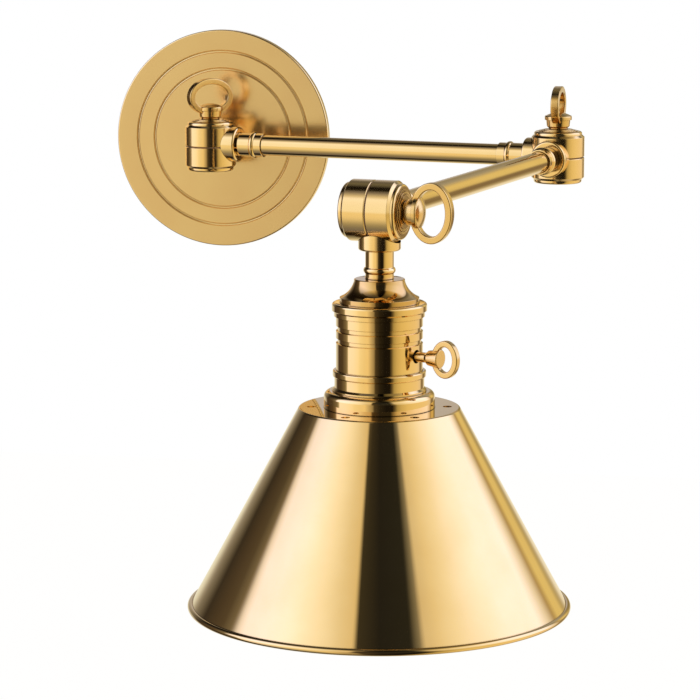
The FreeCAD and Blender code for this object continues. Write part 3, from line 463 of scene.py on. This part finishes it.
blindPattern = makeBarrel("blindPattern", False)
throughPattern = makeBarrel("throughPattern", True)
collarPattern = makeCollar("collarPattern")
washerPattern = makeWasher("washerPattern")
screwPattern = makeThumbscrew("screwPattern")
ringSize = dict(thumbRing, centre=knuckle["halfLength"] + thumbRing["centre"])
ringPattern = makeRing("ringPattern", ringSize)
ringAngles = {"wall": 44, "elbow": 88}    # the ring's long way in plan, from +X


def inPlan(degrees):
    return Vector((math.cos(math.radians(degrees)), math.sin(math.radians(degrees)), 0))


knuckles = {
    "wall": {
        "pivot": wallPivot, "axis": up, "ringWay": inPlan(ringAngles["wall"]),
        "ways": (Vector((0, 1, 0)), armOneWay),
        "bodies": ("wall", "arm_one", "wall_screw"), "halves": ("lower", "upper"), "seamDrop": 1.5,
    },
    "elbow": {
        "pivot": elbowPivot, "axis": up, "ringWay": inPlan(ringAngles["elbow"]),
        "ways": (-armOneWay, armTwoWay),
        "bodies": ("arm_one", "arm_two", "elbow_screw"), "halves": ("lower", "upper"), "seamDrop": 0,
    },
    "tilt": {
        "pivot": tiltPivot, "axis": tiltAxis, "ringWay": up, "ways": (-armTwoWay, -up),
        "bodies": ("arm_two", "head", "tilt_screw"), "halves": ("left", "right"), "seamDrop": 2.5,
    },
}


def placeHalf(knuckleName, half, pattern, rise, place, body):
    # the rise lifts the barrel from the collar's middle towards the half's end
    barrel = copyPiece(pattern, knuckleName + "Knuckle" + half.title())
    seat(barrel, Matrix.Translation(up * rise * mm))
    piece = joinPieces(barrel.name, [barrel, copyPiece(collarPattern, "collar")])
    finishPiece(piece, place, buffedFinish, body, knuckleName + "_knuckle_" + half)


for name, setup in knuckles.items():
    pivot, axis, drop = setup["pivot"], setup["axis"], setup["seamDrop"]
    first, second, screwBody = setup["bodies"]
    placeHalf(name, setup["halves"][0], blindPattern, drop, basis(pivot, -axis, setup["ways"][0]), first)
    placeHalf(name, setup["halves"][1], throughPattern, -drop, basis(pivot, axis, setup["ways"][1]), second)
    onAxis = basis(pivot - axis * drop * mm, axis, setup["ringWay"])
    finishPiece(copyPiece(washerPattern, name + "ClampWasher"), onAxis, finishes["satin_brass"], second,
                name + "_clamp_washer")
    finishPiece(copyPiece(screwPattern, name + "Thumbscrew"), onAxis, finishes["satin_brass"], screwBody,
                name + "_thumbscrew")
    finishPiece(copyPiece(ringPattern, name + "ThumbRing"), onAxis, finishes["satin_brass"], screwBody,
                name + "_thumb_ring")
print("knuckles made")

# fittings and tubes
fitting = {
    "bore": 3.8, "spigot": 5.0, "start": 17.4, "face": 20.3, "faceGap": 0.3, "neck": 7.4, "beadStart": 29.0,
    "beadLength": 3.2, "beadHeight": 0.95, "length": 37.0, "tubeStart": 26.0, "tube": 6.35, "seat": 6.4,
    "tubeWall": 1.0, "softEdge": 0.18, "creaseAngle": 40,
}
wallFitting = {"length": 33.0, "seat": 5.05, "seatFloor": 24.0}
neckFitting = {"length": 35.0, "seat": 5.05, "seatFloor": 26.1}


def makeFitting(name, length, seatRadius, seatFloor):
    beadEnd = fitting["beadStart"] + fitting["beadLength"]
    face = fitting["face"] - fitting["faceGap"]
    outline = [(fitting["bore"], fitting["start"]), (fitting["spigot"], fitting["start"])]
    outline += [(fitting["spigot"], face), (fitting["neck"], face)]
    outline += bulge(fitting["neck"], fitting["beadStart"], beadEnd, fitting["beadHeight"])
    outline += [(fitting["neck"], length), (seatRadius, length), (seatRadius, seatFloor)]
    outline += [(fitting["bore"], seatFloor)]
    piece = turned(name, outline, closed=True, segments=96)
    softenEdges(piece, fitting["softEdge"], 2, fitting["creaseAngle"])
    return piece


def makeTube(name, length):
    wall = fitting["tube"] - fitting["tubeWall"]
    start, end = fitting["tubeStart"], length / mm - fitting["tubeStart"]
    outline = [(wall, start), (fitting["tube"], start), (fitting["tube"], end), (wall, end)]
    return turned(name, outline, closed=True, segments=96)


armFittingPattern = makeFitting("armFittingPattern", fitting["length"], fitting["seat"], fitting["tubeStart"])
arms = {
    "armOne": {
        "body": "arm_one", "start": wallPivot, "way": armOneWay, "length": (elbowPivot - wallPivot).length},
    "armTwo": {
        "body": "arm_two", "start": elbowPivot, "way": armTwoWay, "length": (tiltPivot - elbowPivot).length},
}
for name, arm in arms.items():
    body = arm["body"]
    near = basis(arm["start"], arm["way"], up)
    far = basis(arm["start"] + arm["way"] * arm["length"], -arm["way"], up)
    for side, place in (("inner", near), ("outer", far)):
        piece = copyPiece(armFittingPattern, name + side.title() + "Fitting")
        finishPiece(piece, place, finishes["polished_brass"], body,
                    body + "_" + side + "_fitting")
    tube = makeTube(name + "Tube", arm["length"])
    finishPiece(tube, near, tubeFinish, body, body + "_tube")
wallStub = makeFitting("wallFitting", wallFitting["length"], wallFitting["seat"], wallFitting["seatFloor"])
finishPiece(wallStub, basis(wallPivot, Vector((0, 1, 0)), up), finishes["polished_brass"], "wall",
            "wall_fitting")
headNeck = makeFitting("headNeck", neckFitting["length"], neckFitting["seat"], neckFitting["seatFloor"])
finishPiece(headNeck, basis(tiltPivot, -up, Vector((1, 0, 0))), finishes["polished_brass"], "head",
            "head_neck")
print("arms made")

# socket: ogee cap, ribbed shell and shade holder, heights from the tilt axis
cap = {
    "top": -35.0, "topRadius": 13.2, "topRound": 0.7, "sweepTop": -36.1, "sweepEnd": -44.7, "sweep": 12.2,
    "skirt": 20.6, "bottom": -49.0, "wall": 1.4, "hole": 5.05, "softEdge": 0.15, "creaseAngle": 25,
}
shell = {
    "top": -47.4, "bottom": -93.5, "radius": 22.5, "bore": 20.2, "mouth": 20.65, "ledge": -49.0,
    "rim": 24.6, "rimRound": 1.3, "rimSlope": 0.8, "rimEnd": -52.2, "step": 23.5, "stepEnd": -54.7,
    "grooves": ((-59.4, -62.1), (-65.8, -68.4)), "grooveDepth": 0.9, "grooveRound": 0.35,
    "beadTop": -82.6, "beadEnd": -86.1, "bead": 24.2, "beadRound": 0.75,
    "foot": 23.3, "footEnd": -91.4, "lip": 24.4, "lipTop": -92.5, "keyHole": 3.55,
    "softEdge": 0.15, "creaseAngle": 22,
}
holder = {
    "top": -93.5, "bottom": -102.2, "radius": 28.8, "shoulder": 3.0, "lip": 2.0, "passage": 18.4,
    "softEdge": 0.2, "creaseAngle": 40,
}


def arcThrough(start, end, radius, steps=10):  # hollow sweep that curves in towards the axis
    (r1, z1), (r2, z2) = start, end
    chord = math.hypot(r2 - r1, z2 - z1)
    lift = math.sqrt(radius ** 2 - (chord / 2) ** 2)
    centreR = (r1 + r2) / 2 + (z2 - z1) / chord * lift
    centreZ = (z1 + z2) / 2 - (r2 - r1) / chord * lift
    first = math.degrees(math.atan2(z1 - centreZ, r1 - centreR))
    last = math.degrees(math.atan2(z2 - centreZ, r2 - centreR))
    if last - first > 180:
        last -= 360
    if first - last > 180:
        last += 360
    return arc(centreR, centreZ, radius, first, last, steps)


def makeCap():
    innerSkirt = cap["skirt"] - cap["wall"]
    innerTop = cap["topRadius"] - cap["wall"]
    outline = [(cap["hole"], cap["top"]), (cap["hole"], cap["top"] - cap["wall"])]
    outline += [(innerTop, cap["top"] - cap["wall"]), (innerTop, cap["sweepTop"] - cap["wall"])]
    outline += [(innerSkirt, cap["sweepEnd"] - cap["wall"]), (innerSkirt, cap["bottom"])]
    outline += [(cap["skirt"], cap["bottom"])]
    outline += arcThrough((cap["skirt"], cap["sweepEnd"]), (cap["topRadius"], cap["sweepTop"]), cap["sweep"])
    rim = cap["topRound"]
    outline += arc(cap["topRadius"] - rim, cap["top"] - rim, rim, 0, 90, 4)
    piece = turned("socketCap", outline, closed=True)
    softenEdges(piece, cap["softEdge"], 2, cap["creaseAngle"])
    return piece


def makeShell():
    outline = [(shell["bore"], shell["bottom"]), (shell["lip"], shell["bottom"])]
    outline += [(shell["lip"], shell["lipTop"]), (shell["foot"], shell["footEnd"])]
    edge = shell["beadRound"]
    outline += [(shell["foot"], shell["beadEnd"])]
    outline += arc(shell["bead"] - edge, shell["beadEnd"] + edge, edge, -90, 0, 5)
    outline += arc(shell["bead"] - edge, shell["beadTop"] - edge, edge, 0, 90, 5)
    outline += [(shell["radius"], shell["beadTop"])]
    slope = shell["grooveRound"]
    deep = shell["radius"] - shell["grooveDepth"]
    for high, low in reversed(shell["grooves"]):
        outline += [(shell["radius"], low), (deep, low + slope)]
        outline += [(deep, high - slope), (shell["radius"], high)]
    outline += [(shell["radius"], shell["stepEnd"]), (shell["step"], shell["stepEnd"] + slope)]
    outline += [(shell["step"], shell["rimEnd"]), (shell["rim"], shell["rimEnd"] + shell["rimSlope"])]
    rim = shell["rimRound"]
    outline += arc(shell["rim"] - rim, shell["top"] - rim, rim, 0, 90, 8)
    outline += [(shell["mouth"], shell["top"]), (shell["mouth"], shell["ledge"])]
    outline += [(shell["bore"], shell["ledge"])]
    piece = turned("socketShell", outline, closed=True, segments=160)
    deselectAll()
    hole = 2 * shell["rim"] * mm
    bpy.ops.mesh.primitive_cylinder_add(vertices=64, radius=shell["keyHole"] * mm, depth=hole)
    cutter = bpy.context.object
    height = keyPivot.z - tiltPivot.z
    seat(cutter, basis(Vector((0, 0, height)) + keyWay * shell["rim"] * mm, keyWay, up))
    cutAway(piece, cutter)
    softenEdges(piece, shell["softEdge"], 2, shell["creaseAngle"])
    return piece


def makeHolder():
    rim = holder["shoulder"]
    outline = [(holder["passage"], holder["bottom"]), (holder["radius"], holder["bottom"])]
    outline += arc(holder["radius"] - rim, holder["top"] - rim, rim, 0, 90, 8)
    outline += [(shell["bore"], holder["top"]), (shell["bore"], holder["bottom"] + holder["lip"])]
    outline += [(holder["passage"], holder["bottom"] + holder["lip"])]
    piece = turned("shadeHolder", outline, closed=True, segments=160)
    softenEdges(piece, holder["softEdge"], 2, holder["creaseAngle"])
    return piece


hanging = Matrix.Translation(tiltPivot)
# the cap takes the brass with painted shade
finishPiece(makeCap(), hanging, shadedCapFinish, "head", "socket_cap")
finishPiece(makeShell(), hanging, finishes["polished_brass"], "head", "socket_shell")
finishPiece(makeHolder(), hanging, finishes["polished_brass"], "head", "shade_holder")
print("socket made")

# switch key
key = {
    "start": 5.0, "shaft": 2.2, "outer": 2.6, "stepStart": -2.0, "stepLength": 0.4, "flareStart": 5.8,
    "flareLength": 1.7, "waist": 3.9, "knob": 4.9, "end": 14.4, "round": 0.6, "softEdge": 0.2,
    "creaseAngle": 12,
}
keyRing = {"long": 9.75, "short": 7.7, "band": 3.2, "width": 3.6, "centre": 17.3, "edge": 0.7}


def makeKey():
    step = shell["radius"] + key["stepStart"]
    flare = shell["radius"] + key["flareStart"]
    end = shell["radius"] + key["end"]
    rim = key["round"]
    outline = [(0, key["start"]), (key["shaft"], key["start"]), (key["shaft"], step)]
    outline += [(key["outer"], step + key["stepLength"]), (key["outer"], flare)]
    outline += [(key["waist"], flare + key["flareLength"])]
    outline += arc(key["knob"] - rim, end - rim, rim, 0, 90, 5) + [(0, end)]
    piece = turned("switchKey", outline, segments=96)
    softenEdges(piece, key["softEdge"], angle=key["creaseAngle"])
    return piece


onKey = basis(keyPivot, keyWay, up)
finishPiece(makeKey(), onKey, finishes["satin_brass"], "key", "switch_key")
keyRingPiece = makeRing("keyRing", dict(keyRing, centre=shell["radius"] + keyRing["centre"]))
finishPiece(keyRingPiece, onKey, finishes["satin_brass"], "key", "key_ring")
print("key made")

# shade: flat top with vents, spun cone and rolled rim
shade = {
    "top": -102.2, "topRadius": 41.8, "base": -207.2, "rim": 98.6, "wall": 0.9, "corner": 1.4, "roll": 1.75,
    "rollTrim": 4, "hole": 18.4, "vent": 2.4, "ventCircle": 35.3, "ventAngle": -49, "vents": 6,
    "ventCut": 5.6,
}


def makeShade():
    slant = math.atan2(shade["rim"] - shade["topRadius"], shade["top"] - shade["base"])
    level = shade["wall"] / math.cos(slant)
    reach = shade["corner"] * math.cos(slant) / (1 + math.sin(slant))
    turnAngle = math.degrees(slant)
    outline = [(shade["hole"], shade["top"] - shade["wall"]), (shade["hole"], shade["top"])]
    corner = shade["corner"]
    outline += arc(shade["topRadius"] - reach, shade["top"] - corner, corner, 90, turnAngle, 6)
    steps = 6
    for step in range(1, steps):
        share = step / steps
        radius = shade["topRadius"] + (shade["rim"] - shade["topRadius"]) * share
        outline += [(radius, shade["top"] + (shade["base"] - shade["top"]) * share)]
    rollStart = 90 + turnAngle - shade["rollTrim"]
    outline += arc(shade["rim"], shade["base"], shade["roll"], rollStart, -180 - turnAngle, 22)
    outline += [(shade["topRadius"] - level, shade["top"] - shade["wall"])]
    piece = turned("shade", outline, closed=True, segments=224)
    for number in range(shade["vents"]):
        deselectAll()
        radius, depth = shade["vent"] * mm, shade["ventCut"] * mm
        bpy.ops.mesh.primitive_cylinder_add(vertices=40, radius=radius, depth=depth)
        cutter = bpy.context.object
        way = inPlan(shade["ventAngle"] + 360 / shade["vents"] * number)
        seat(cutter, Matrix.Translation(way * shade["ventCircle"] * mm + up * shade["top"] * mm))
        cutAway(piece, cutter)
    return piece


finishPiece(makeShade(), hanging, spunFinish, "head", "shade")
print("shade made")

# inside the shade
lampholder = {
    "top": -80.0, "shoulder": -100.2, "bottom": -111.0, "radius": 19.0, "collar": 18.0, "rivet": 1.65,
    "pocketFloor": -82.8, "floor": -85.0, "pocket": 8.0, "bore": 13.75, "softEdge": 0.4, "creaseAngle": 40,
}
screwShell = {
    "radius": 13.7, "wall": 0.4, "top": -85.0, "bottom": -110.0, "eye": 8.0, "threads": 7,
    "threadDepth": 0.28, "stepsPerThread": 6,
}
contact = {"radius": 5.0, "thickness": 0.9, "softEdge": 0.2}
clampRing = {"hole": 18.05, "radius": 23.0, "top": -103.1, "height": 4.0, "softEdge": 0.6}


def makeLampholder():
    outline = [(lampholder["rivet"], lampholder["top"]), (lampholder["rivet"], lampholder["pocketFloor"])]
    outline += [(lampholder["pocket"], lampholder["pocketFloor"])]
    outline += [(lampholder["pocket"], lampholder["floor"]), (lampholder["bore"], lampholder["floor"])]
    outline += [(lampholder["bore"], lampholder["bottom"])]
    outline += [(lampholder["collar"], lampholder["bottom"]), (lampholder["collar"], lampholder["shoulder"])]
    outline += [(lampholder["radius"], lampholder["shoulder"]), (lampholder["radius"], lampholder["top"])]
    piece = turned("lampholder", outline, closed=True, segments=96)
    softenEdges(piece, lampholder["softEdge"], 3, lampholder["creaseAngle"])
    return piece


def makeScrewShell():  # rolled thread drawn as a row of rounded rings
    outer = screwShell["radius"]
    inner = outer - screwShell["wall"]
    length = screwShell["top"] - screwShell["bottom"]
    outside, inside = [], []
    perThread = screwShell["stepsPerThread"]
    steps = screwShell["threads"] * perThread
    for step in range(steps + 1):
        wave = screwShell["threadDepth"] * (1 - math.cos(2 * math.pi * step / perThread)) / 2
        height = screwShell["bottom"] + (length - screwShell["wall"]) * step / steps
        inside.append((inner - wave, height))
        outside.append((outer - wave, height))
    outline = inside + [(screwShell["eye"], screwShell["top"] - screwShell["wall"])]
    outline += [(screwShell["eye"], screwShell["top"]), (outer, screwShell["top"])] + outside[::-1]
    return turned("lampScrewShell", outline, closed=True, segments=96)


def makeContact():
    top = lampholder["pocketFloor"]
    low = top - contact["thickness"] * 2
    outline = [(0, low), (contact["radius"] / 2, low), (contact["radius"], top - contact["thickness"])]
    outline += [(contact["radius"], top), (0, top)]
    piece = turned("lampContact", outline, segments=64)
    softenEdges(piece, contact["softEdge"], 2)
    return piece


def makeClampRing():
    bottom = clampRing["top"] - clampRing["height"]
    outline = [(clampRing["hole"], bottom), (clampRing["radius"], bottom)]
    outline += [(clampRing["radius"], clampRing["top"]), (clampRing["hole"], clampRing["top"])]
    piece = turned("shadeRing", outline, closed=True, segments=96)
    softenEdges(piece, clampRing["softEdge"], 3)
    return piece


finishPiece(makeLampholder(), hanging, finishes["porcelain"], "head", "lampholder")
finishPiece(makeScrewShell(), hanging, finishes["polished_brass"], "head", "lamp_screw_shell")
finishPiece(makeContact(), hanging, finishes["satin_brass"], "head", "lamp_centre_contact")
finishPiece(makeClampRing(), hanging, finishes["porcelain"], "head", "shade_ring")
for pattern in (blindPattern, throughPattern, collarPattern, washerPattern, screwPattern, ringPattern,
                armFittingPattern):
    bpy.data.objects.remove(pattern, do_unlink=True)
print("inner pieces made")

# studio: a floor well below, and a sky with two broad soft boxes and dark gaps between them
camera = {
    "azimuth": 10.85, "elevation": 9.45, "place": (0.4430, -1.8804, 0.1825), "focalPixels": 3000,
    "picture": 700, "sensor": 36, "clipEnd": 40,
}
# The glow is the share of the seen floor that is plain white; the rest keeps the shadow.
paleFloor = {
    "height": -0.8, "size": 5.6, "glow": 0.8, "white": 1.08, "colour": "d9d6d0", "roughness": 0.9,
}


def makeCamera():
    data = bpy.data.cameras.new("camera")
    piece = bpy.data.objects.new("camera", data)
    scene.collection.objects.link(piece)
    azimuth, elevation = math.radians(camera["azimuth"]), math.radians(camera["elevation"])
    right = Vector((math.cos(azimuth), math.sin(azimuth), 0))
    back = Vector((math.sin(azimuth) * math.cos(elevation), -math.cos(azimuth) * math.cos(elevation),
                   math.sin(elevation)))
    piece.matrix_world = basis(Vector(camera["place"]), back, right)
    data.sensor_width = camera["sensor"]
    data.lens = camera["focalPixels"] / camera["picture"] * data.sensor_width
    data.clip_end = camera["clipEnd"]
    scene.camera = piece


def makeFloor():
    deselectAll()
    bpy.ops.mesh.primitive_plane_add(size=paleFloor["size"], location=(0, 0, paleFloor["height"]))
    floor = bpy.context.object
    floor.name = "floor"
    bpy.ops.object.transform_apply(location=True, rotation=True, scale=True)
    material, tree, shader = shadedMaterial("pale_floor")
    shader.inputs["Base Color"].default_value = hexColour(paleFloor["colour"])
    shader.inputs["Roughness"].default_value = paleFloor["roughness"]
    # the camera sees mostly plain white, and what is left of the floor takes the shadow
    seen = addNode(tree, "ShaderNodeLightPath").outputs["Is Camera Ray"]
    share = addNode(tree, "ShaderNodeMath", {"operation": "MULTIPLY"}, links={0: seen})
    share.inputs[1].default_value = paleFloor["glow"]
    white = addNode(tree, "ShaderNodeEmission", values={
        "Color": (1, 1, 1, 1), "Strength": paleFloor["white"]})
    mixed = addNode(tree, "ShaderNodeMixShader", links={0: share.outputs["Value"]})
    tree.links.new(shader.outputs["BSDF"], mixed.inputs[1])
    tree.links.new(white.outputs["Emission"], mixed.inputs[2])
    # glossy rays pass through, so that metal shows the studio and not the floor's edge
    rays = addNode(tree, "ShaderNodeLightPath").outputs["Is Glossy Ray"]
    clear = addNode(tree, "ShaderNodeBsdfTransparent")
    surface = addNode(tree, "ShaderNodeMixShader", links={0: rays})
    tree.links.new(mixed.outputs["Shader"], surface.inputs[1])
    tree.links.new(clear.outputs["BSDF"], surface.inputs[2])
    output = [node for node in tree.nodes if node.type == "OUTPUT_MATERIAL"][0]
    tree.links.new(surface.outputs["Shader"], output.inputs["Surface"])
    floor.data.materials.append(material)


# What polished metal sees of the studio, by direction: two broad soft boxes, the dark side where the
# camera stands, and the pale background behind. Only glossy rays see it; all others see plain white.
# Azimuth is in degrees from the camera towards the picture's right. Colours are linear and 1 is plain
# white; the boxes are brighter and bluer. One row each holds high up, near the horizon and below it.
skyGain = 3.5
skyHigh = (
    (-180, (0.62, 0.6, 0.6)), (-165, (0.55, 0.52, 0.45)), (-157, (0.05, 0.04, 0.03)),
    (-134, (0.04, 0.03, 0.03)), (-114, (0.12, 0.11, 0.09)), (-106, (0.25, 0.22, 0.18)),
    (-101, (1.2, 1.22, 1.6)), (-96, (1.45, 1.53, 2.3)), (-81, (1.5, 1.56, 2.35)), (-69, (1.42, 1.48, 2.05)),
    (-56, (1.28, 1.32, 1.55)), (-43, (1.13, 1.14, 1.15)), (-29, (0.94, 0.89, 0.75)),
    (-19, (0.86, 0.76, 0.54)), (-16, (0.05, 0.046, 0.034)), (0, (0.02, 0.02, 0.02)),
    (22, (0.025, 0.026, 0.024)), (28, (0.25, 0.24, 0.2)), (32, (0.8, 0.73, 0.58)), (42, (0.95, 0.88, 0.7)),
    (55, (1.08, 1.06, 1.0)), (68, (1.2, 1.24, 1.45)), (80, (1.3, 1.38, 1.8)), (91, (1.38, 1.46, 2.1)),
    (122, (1.42, 1.5, 2.25)), (131, (1.12, 1.2, 1.7)), (136, (0.2, 0.2, 0.18)), (143, (0.3, 0.3, 0.28)),
    (150, (0.5, 0.51, 0.48)), (163, (0.5, 0.51, 0.48)), (180, (0.62, 0.6, 0.6)),
)
skyMiddle = (
    (-180, (0.62, 0.595, 0.612)), (-165, (0.5, 0.465, 0.408)), (-150, (0.3, 0.279, 0.238)),
    (-134, (0.05, 0.042, 0.034)), (-114, (0.12, 0.093, 0.068)), (-104, (0.25, 0.223, 0.177)),
    (-98, (1.45, 1.5, 2.1)), (-81, (1.45, 1.5, 2.2)), (-69, (1.38, 1.44, 1.95)),
    (-56, (1.27, 1.31, 1.5)), (-43, (1.14, 1.16, 1.15)), (-29, (0.88, 0.8, 0.6)),
    (-19, (0.74, 0.614, 0.408)), (-15, (0.1, 0.074, 0.041)), (0, (0.03, 0.028, 0.024)),
    (23, (0.03, 0.028, 0.02)), (29, (0.3, 0.251, 0.136)), (37, (0.75, 0.66, 0.42)),
    (55, (1.0, 0.96, 0.8)), (80, (1.22, 1.24, 1.45)), (116, (1.36, 1.46, 2.1)),
    (126, (0.95, 0.95, 1.0)), (133, (0.5, 0.391, 0.204)), (139, (0.85, 0.725, 0.326)),
    (146, (0.83, 0.688, 0.299)), (151, (0.6, 0.484, 0.204)), (158, (0.36, 0.288, 0.122)),
    (167, (0.28, 0.223, 0.102)), (173, (0.36, 0.307, 0.17)), (180, (0.62, 0.595, 0.612)),
)
skyLow = (
    (-180, (0.95, 0.883, 0.646)), (-158, (0.8, 0.79, 0.646)), (-146, (0.5, 0.465, 0.408)),
    (-138, (0.07, 0.047, 0.034)), (-116, (0.09, 0.065, 0.041)), (-99, (0.25, 0.205, 0.136)),
    (-94, (0.5, 0.465, 0.34)), (-91, (1.35, 1.27, 1.4)), (-74, (1.3, 1.22, 1.25)),
    (-60, (1.2, 1.13, 0.97)), (-53, (1.08, 1.0, 0.74)), (-41, (1.02, 0.9, 0.6)),
    (-31, (1.02, 0.87, 0.54)), (-22, (0.64, 0.54, 0.34)), (-15, (0.4, 0.33, 0.2)),
    (-11, (0.08, 0.062, 0.035)), (0, (0.028, 0.023, 0.015)), (14, (0.012, 0.01, 0.008)),
    (27, (0.014, 0.011, 0.008)), (32, (0.14, 0.11, 0.055)), (38, (0.5, 0.41, 0.18)), (47, (0.72, 0.59, 0.28)),
    (60, (0.88, 0.73, 0.36)), (80, (0.96, 0.81, 0.44)), (116, (1.0, 0.85, 0.58)),
    (128, (0.9, 0.79, 0.612)), (136, (0.3, 0.233, 0.136)), (143, (0.25, 0.186, 0.102)),
    (151, (0.5, 0.419, 0.238)), (160, (0.9, 0.818, 0.612)), (180, (0.95, 0.883, 0.646)),
)
skyBlends = ((-7, 3), (12, 28), (43, 55))    # elevations between the rows; the low row comes again overhead
# The studio falls off into the dark round these three directions. Levels are by degrees away from each.
shadowPoles = {
    "floor": {"azimuth": -95, "elevation": -67, "levels": (
        (0, 0.12), (11, 0.18), (19, 0.23), (26, 0.31), (34, 0.44), (41, 0.6), (49, 0.8), (56, 0.93),
        (64, 1.0))},
    "ceiling": {"azimuth": -150, "elevation": 62, "levels": (
        (0, 0.2), (28, 0.25), (41, 0.6), (50, 0.85), (58, 1.0))},
    "zenith": {"azimuth": 0, "elevation": 90, "levels": (
        (0, 0.24), (16, 0.32), (25, 0.55), (36, 0.88), (44, 1.0))},
}


def skyWay(azimuth, elevation):
    heading = math.radians(camera["azimuth"] + azimuth)
    level = Vector((math.sin(heading), -math.cos(heading), 0))
    return level * math.cos(math.radians(elevation)) + up * math.sin(math.radians(elevation))


def makeSky():
    world = bpy.data.worlds.new("studio")
    scene.world = world
    world.use_nodes = True
    tree = world.node_tree
    tree.nodes.clear()
    way = addNode(tree, "ShaderNodeTexCoord").outputs["Generated"]
    # the direction's azimuth from the camera, as a share of a whole turn
    parts = []
    for axis in (skyWay(90, 0), skyWay(0, 0)):
        part = addNode(tree, "ShaderNodeVectorMath", {"operation": "DOT_PRODUCT"}, links={0: way})
        part.inputs[1].default_value = axis
        parts.append(part.outputs["Value"])
    around = addNode(tree, "ShaderNodeMath", {"operation": "ARCTAN2"}, links={0: parts[0], 1: parts[1]})
    aroundShare = addNode(tree, "ShaderNodeMapRange", values={"From Min": -math.pi, "From Max": math.pi},
                          links={"Value": around.outputs["Value"]})
    rows = []
    for stops in (skyLow, skyMiddle, skyHigh):
        row = addNode(tree, "ShaderNodeValToRGB", links={"Fac": aroundShare.outputs["Result"]})
        setRamp(row, [((angle + 180) / 360, tuple(part / skyGain for part in colour) + (1,))
                      for angle, colour in stops])
        rows.append(row.outputs["Color"])
    # the rows are blended by elevation, from the low one upwards
    height = addNode(tree, "ShaderNodeSeparateXYZ", links={"Vector": way}).outputs["Z"]
    rise = addNode(tree, "ShaderNodeMath", {"operation": "ARCSINE"}, links={0: height})
    picture = rows[0]
    for row, (start, end) in zip(rows[1:] + rows[:1], skyBlends):
        blend = addNode(tree, "ShaderNodeMapRange", {"interpolation_type": "SMOOTHSTEP"}, {
            "From Min": math.radians(start), "From Max": math.radians(end)}, {"Value": rise.outputs["Value"]})
        sides = addNode(tree, "ShaderNodeMix", {"data_type": "RGBA"}, links={
            "Factor": blend.outputs["Result"]})
        tree.links.new(picture, sides.inputs["A"])
        tree.links.new(row, sides.inputs["B"])
        picture = sides.outputs["Result"]
    # the ramps hold the colours over the gain, so it comes back here, and falls off round each pole
    strength = addNode(tree, "ShaderNodeValue")
    strength.outputs["Value"].default_value = skyGain
    level = strength.outputs["Value"]
    for pole in shadowPoles.values():
        near = addNode(tree, "ShaderNodeVectorMath", {"operation": "DOT_PRODUCT"}, links={0: way})
        near.inputs[1].default_value = skyWay(pole["azimuth"], pole["elevation"])
        away = addNode(tree, "ShaderNodeMath", {"operation": "ARCCOSINE"}, links={0: near.outputs["Value"]})
        share = addNode(tree, "ShaderNodeMapRange", values={"From Min": 0, "From Max": math.pi},
                        links={"Value": away.outputs["Value"]})
        fall = addNode(tree, "ShaderNodeValToRGB", links={"Fac": share.outputs["Result"]})
        setRamp(fall, [(angle / 180, (amount, amount, amount, 1)) for angle, amount in pole["levels"]])
        product = addNode(tree, "ShaderNodeMath", {"operation": "MULTIPLY"}, links={
            0: level, 1: fall.outputs["Color"]})
        level = product.outputs["Value"]
    studio = addNode(tree, "ShaderNodeBackground", links={"Color": picture, "Strength": level})
    white = addNode(tree, "ShaderNodeBackground", values={"Color": (1, 1, 1, 1), "Strength": 1.0})
    # glossy rays see the studio, and all others plain white
    glossy = addNode(tree, "ShaderNodeLightPath").outputs["Is Glossy Ray"]
    mixed = addNode(tree, "ShaderNodeMixShader", links={0: glossy})
    tree.links.new(white.outputs["Background"], mixed.inputs[1])
    tree.links.new(studio.outputs["Background"], mixed.inputs[2])
    addNode(tree, "ShaderNodeOutputWorld", links={"Surface": mixed.outputs["Shader"]})


makeCamera()
makeFloor()
makeSky()
scene.view_settings.view_transform = "Standard"
print("studio made")
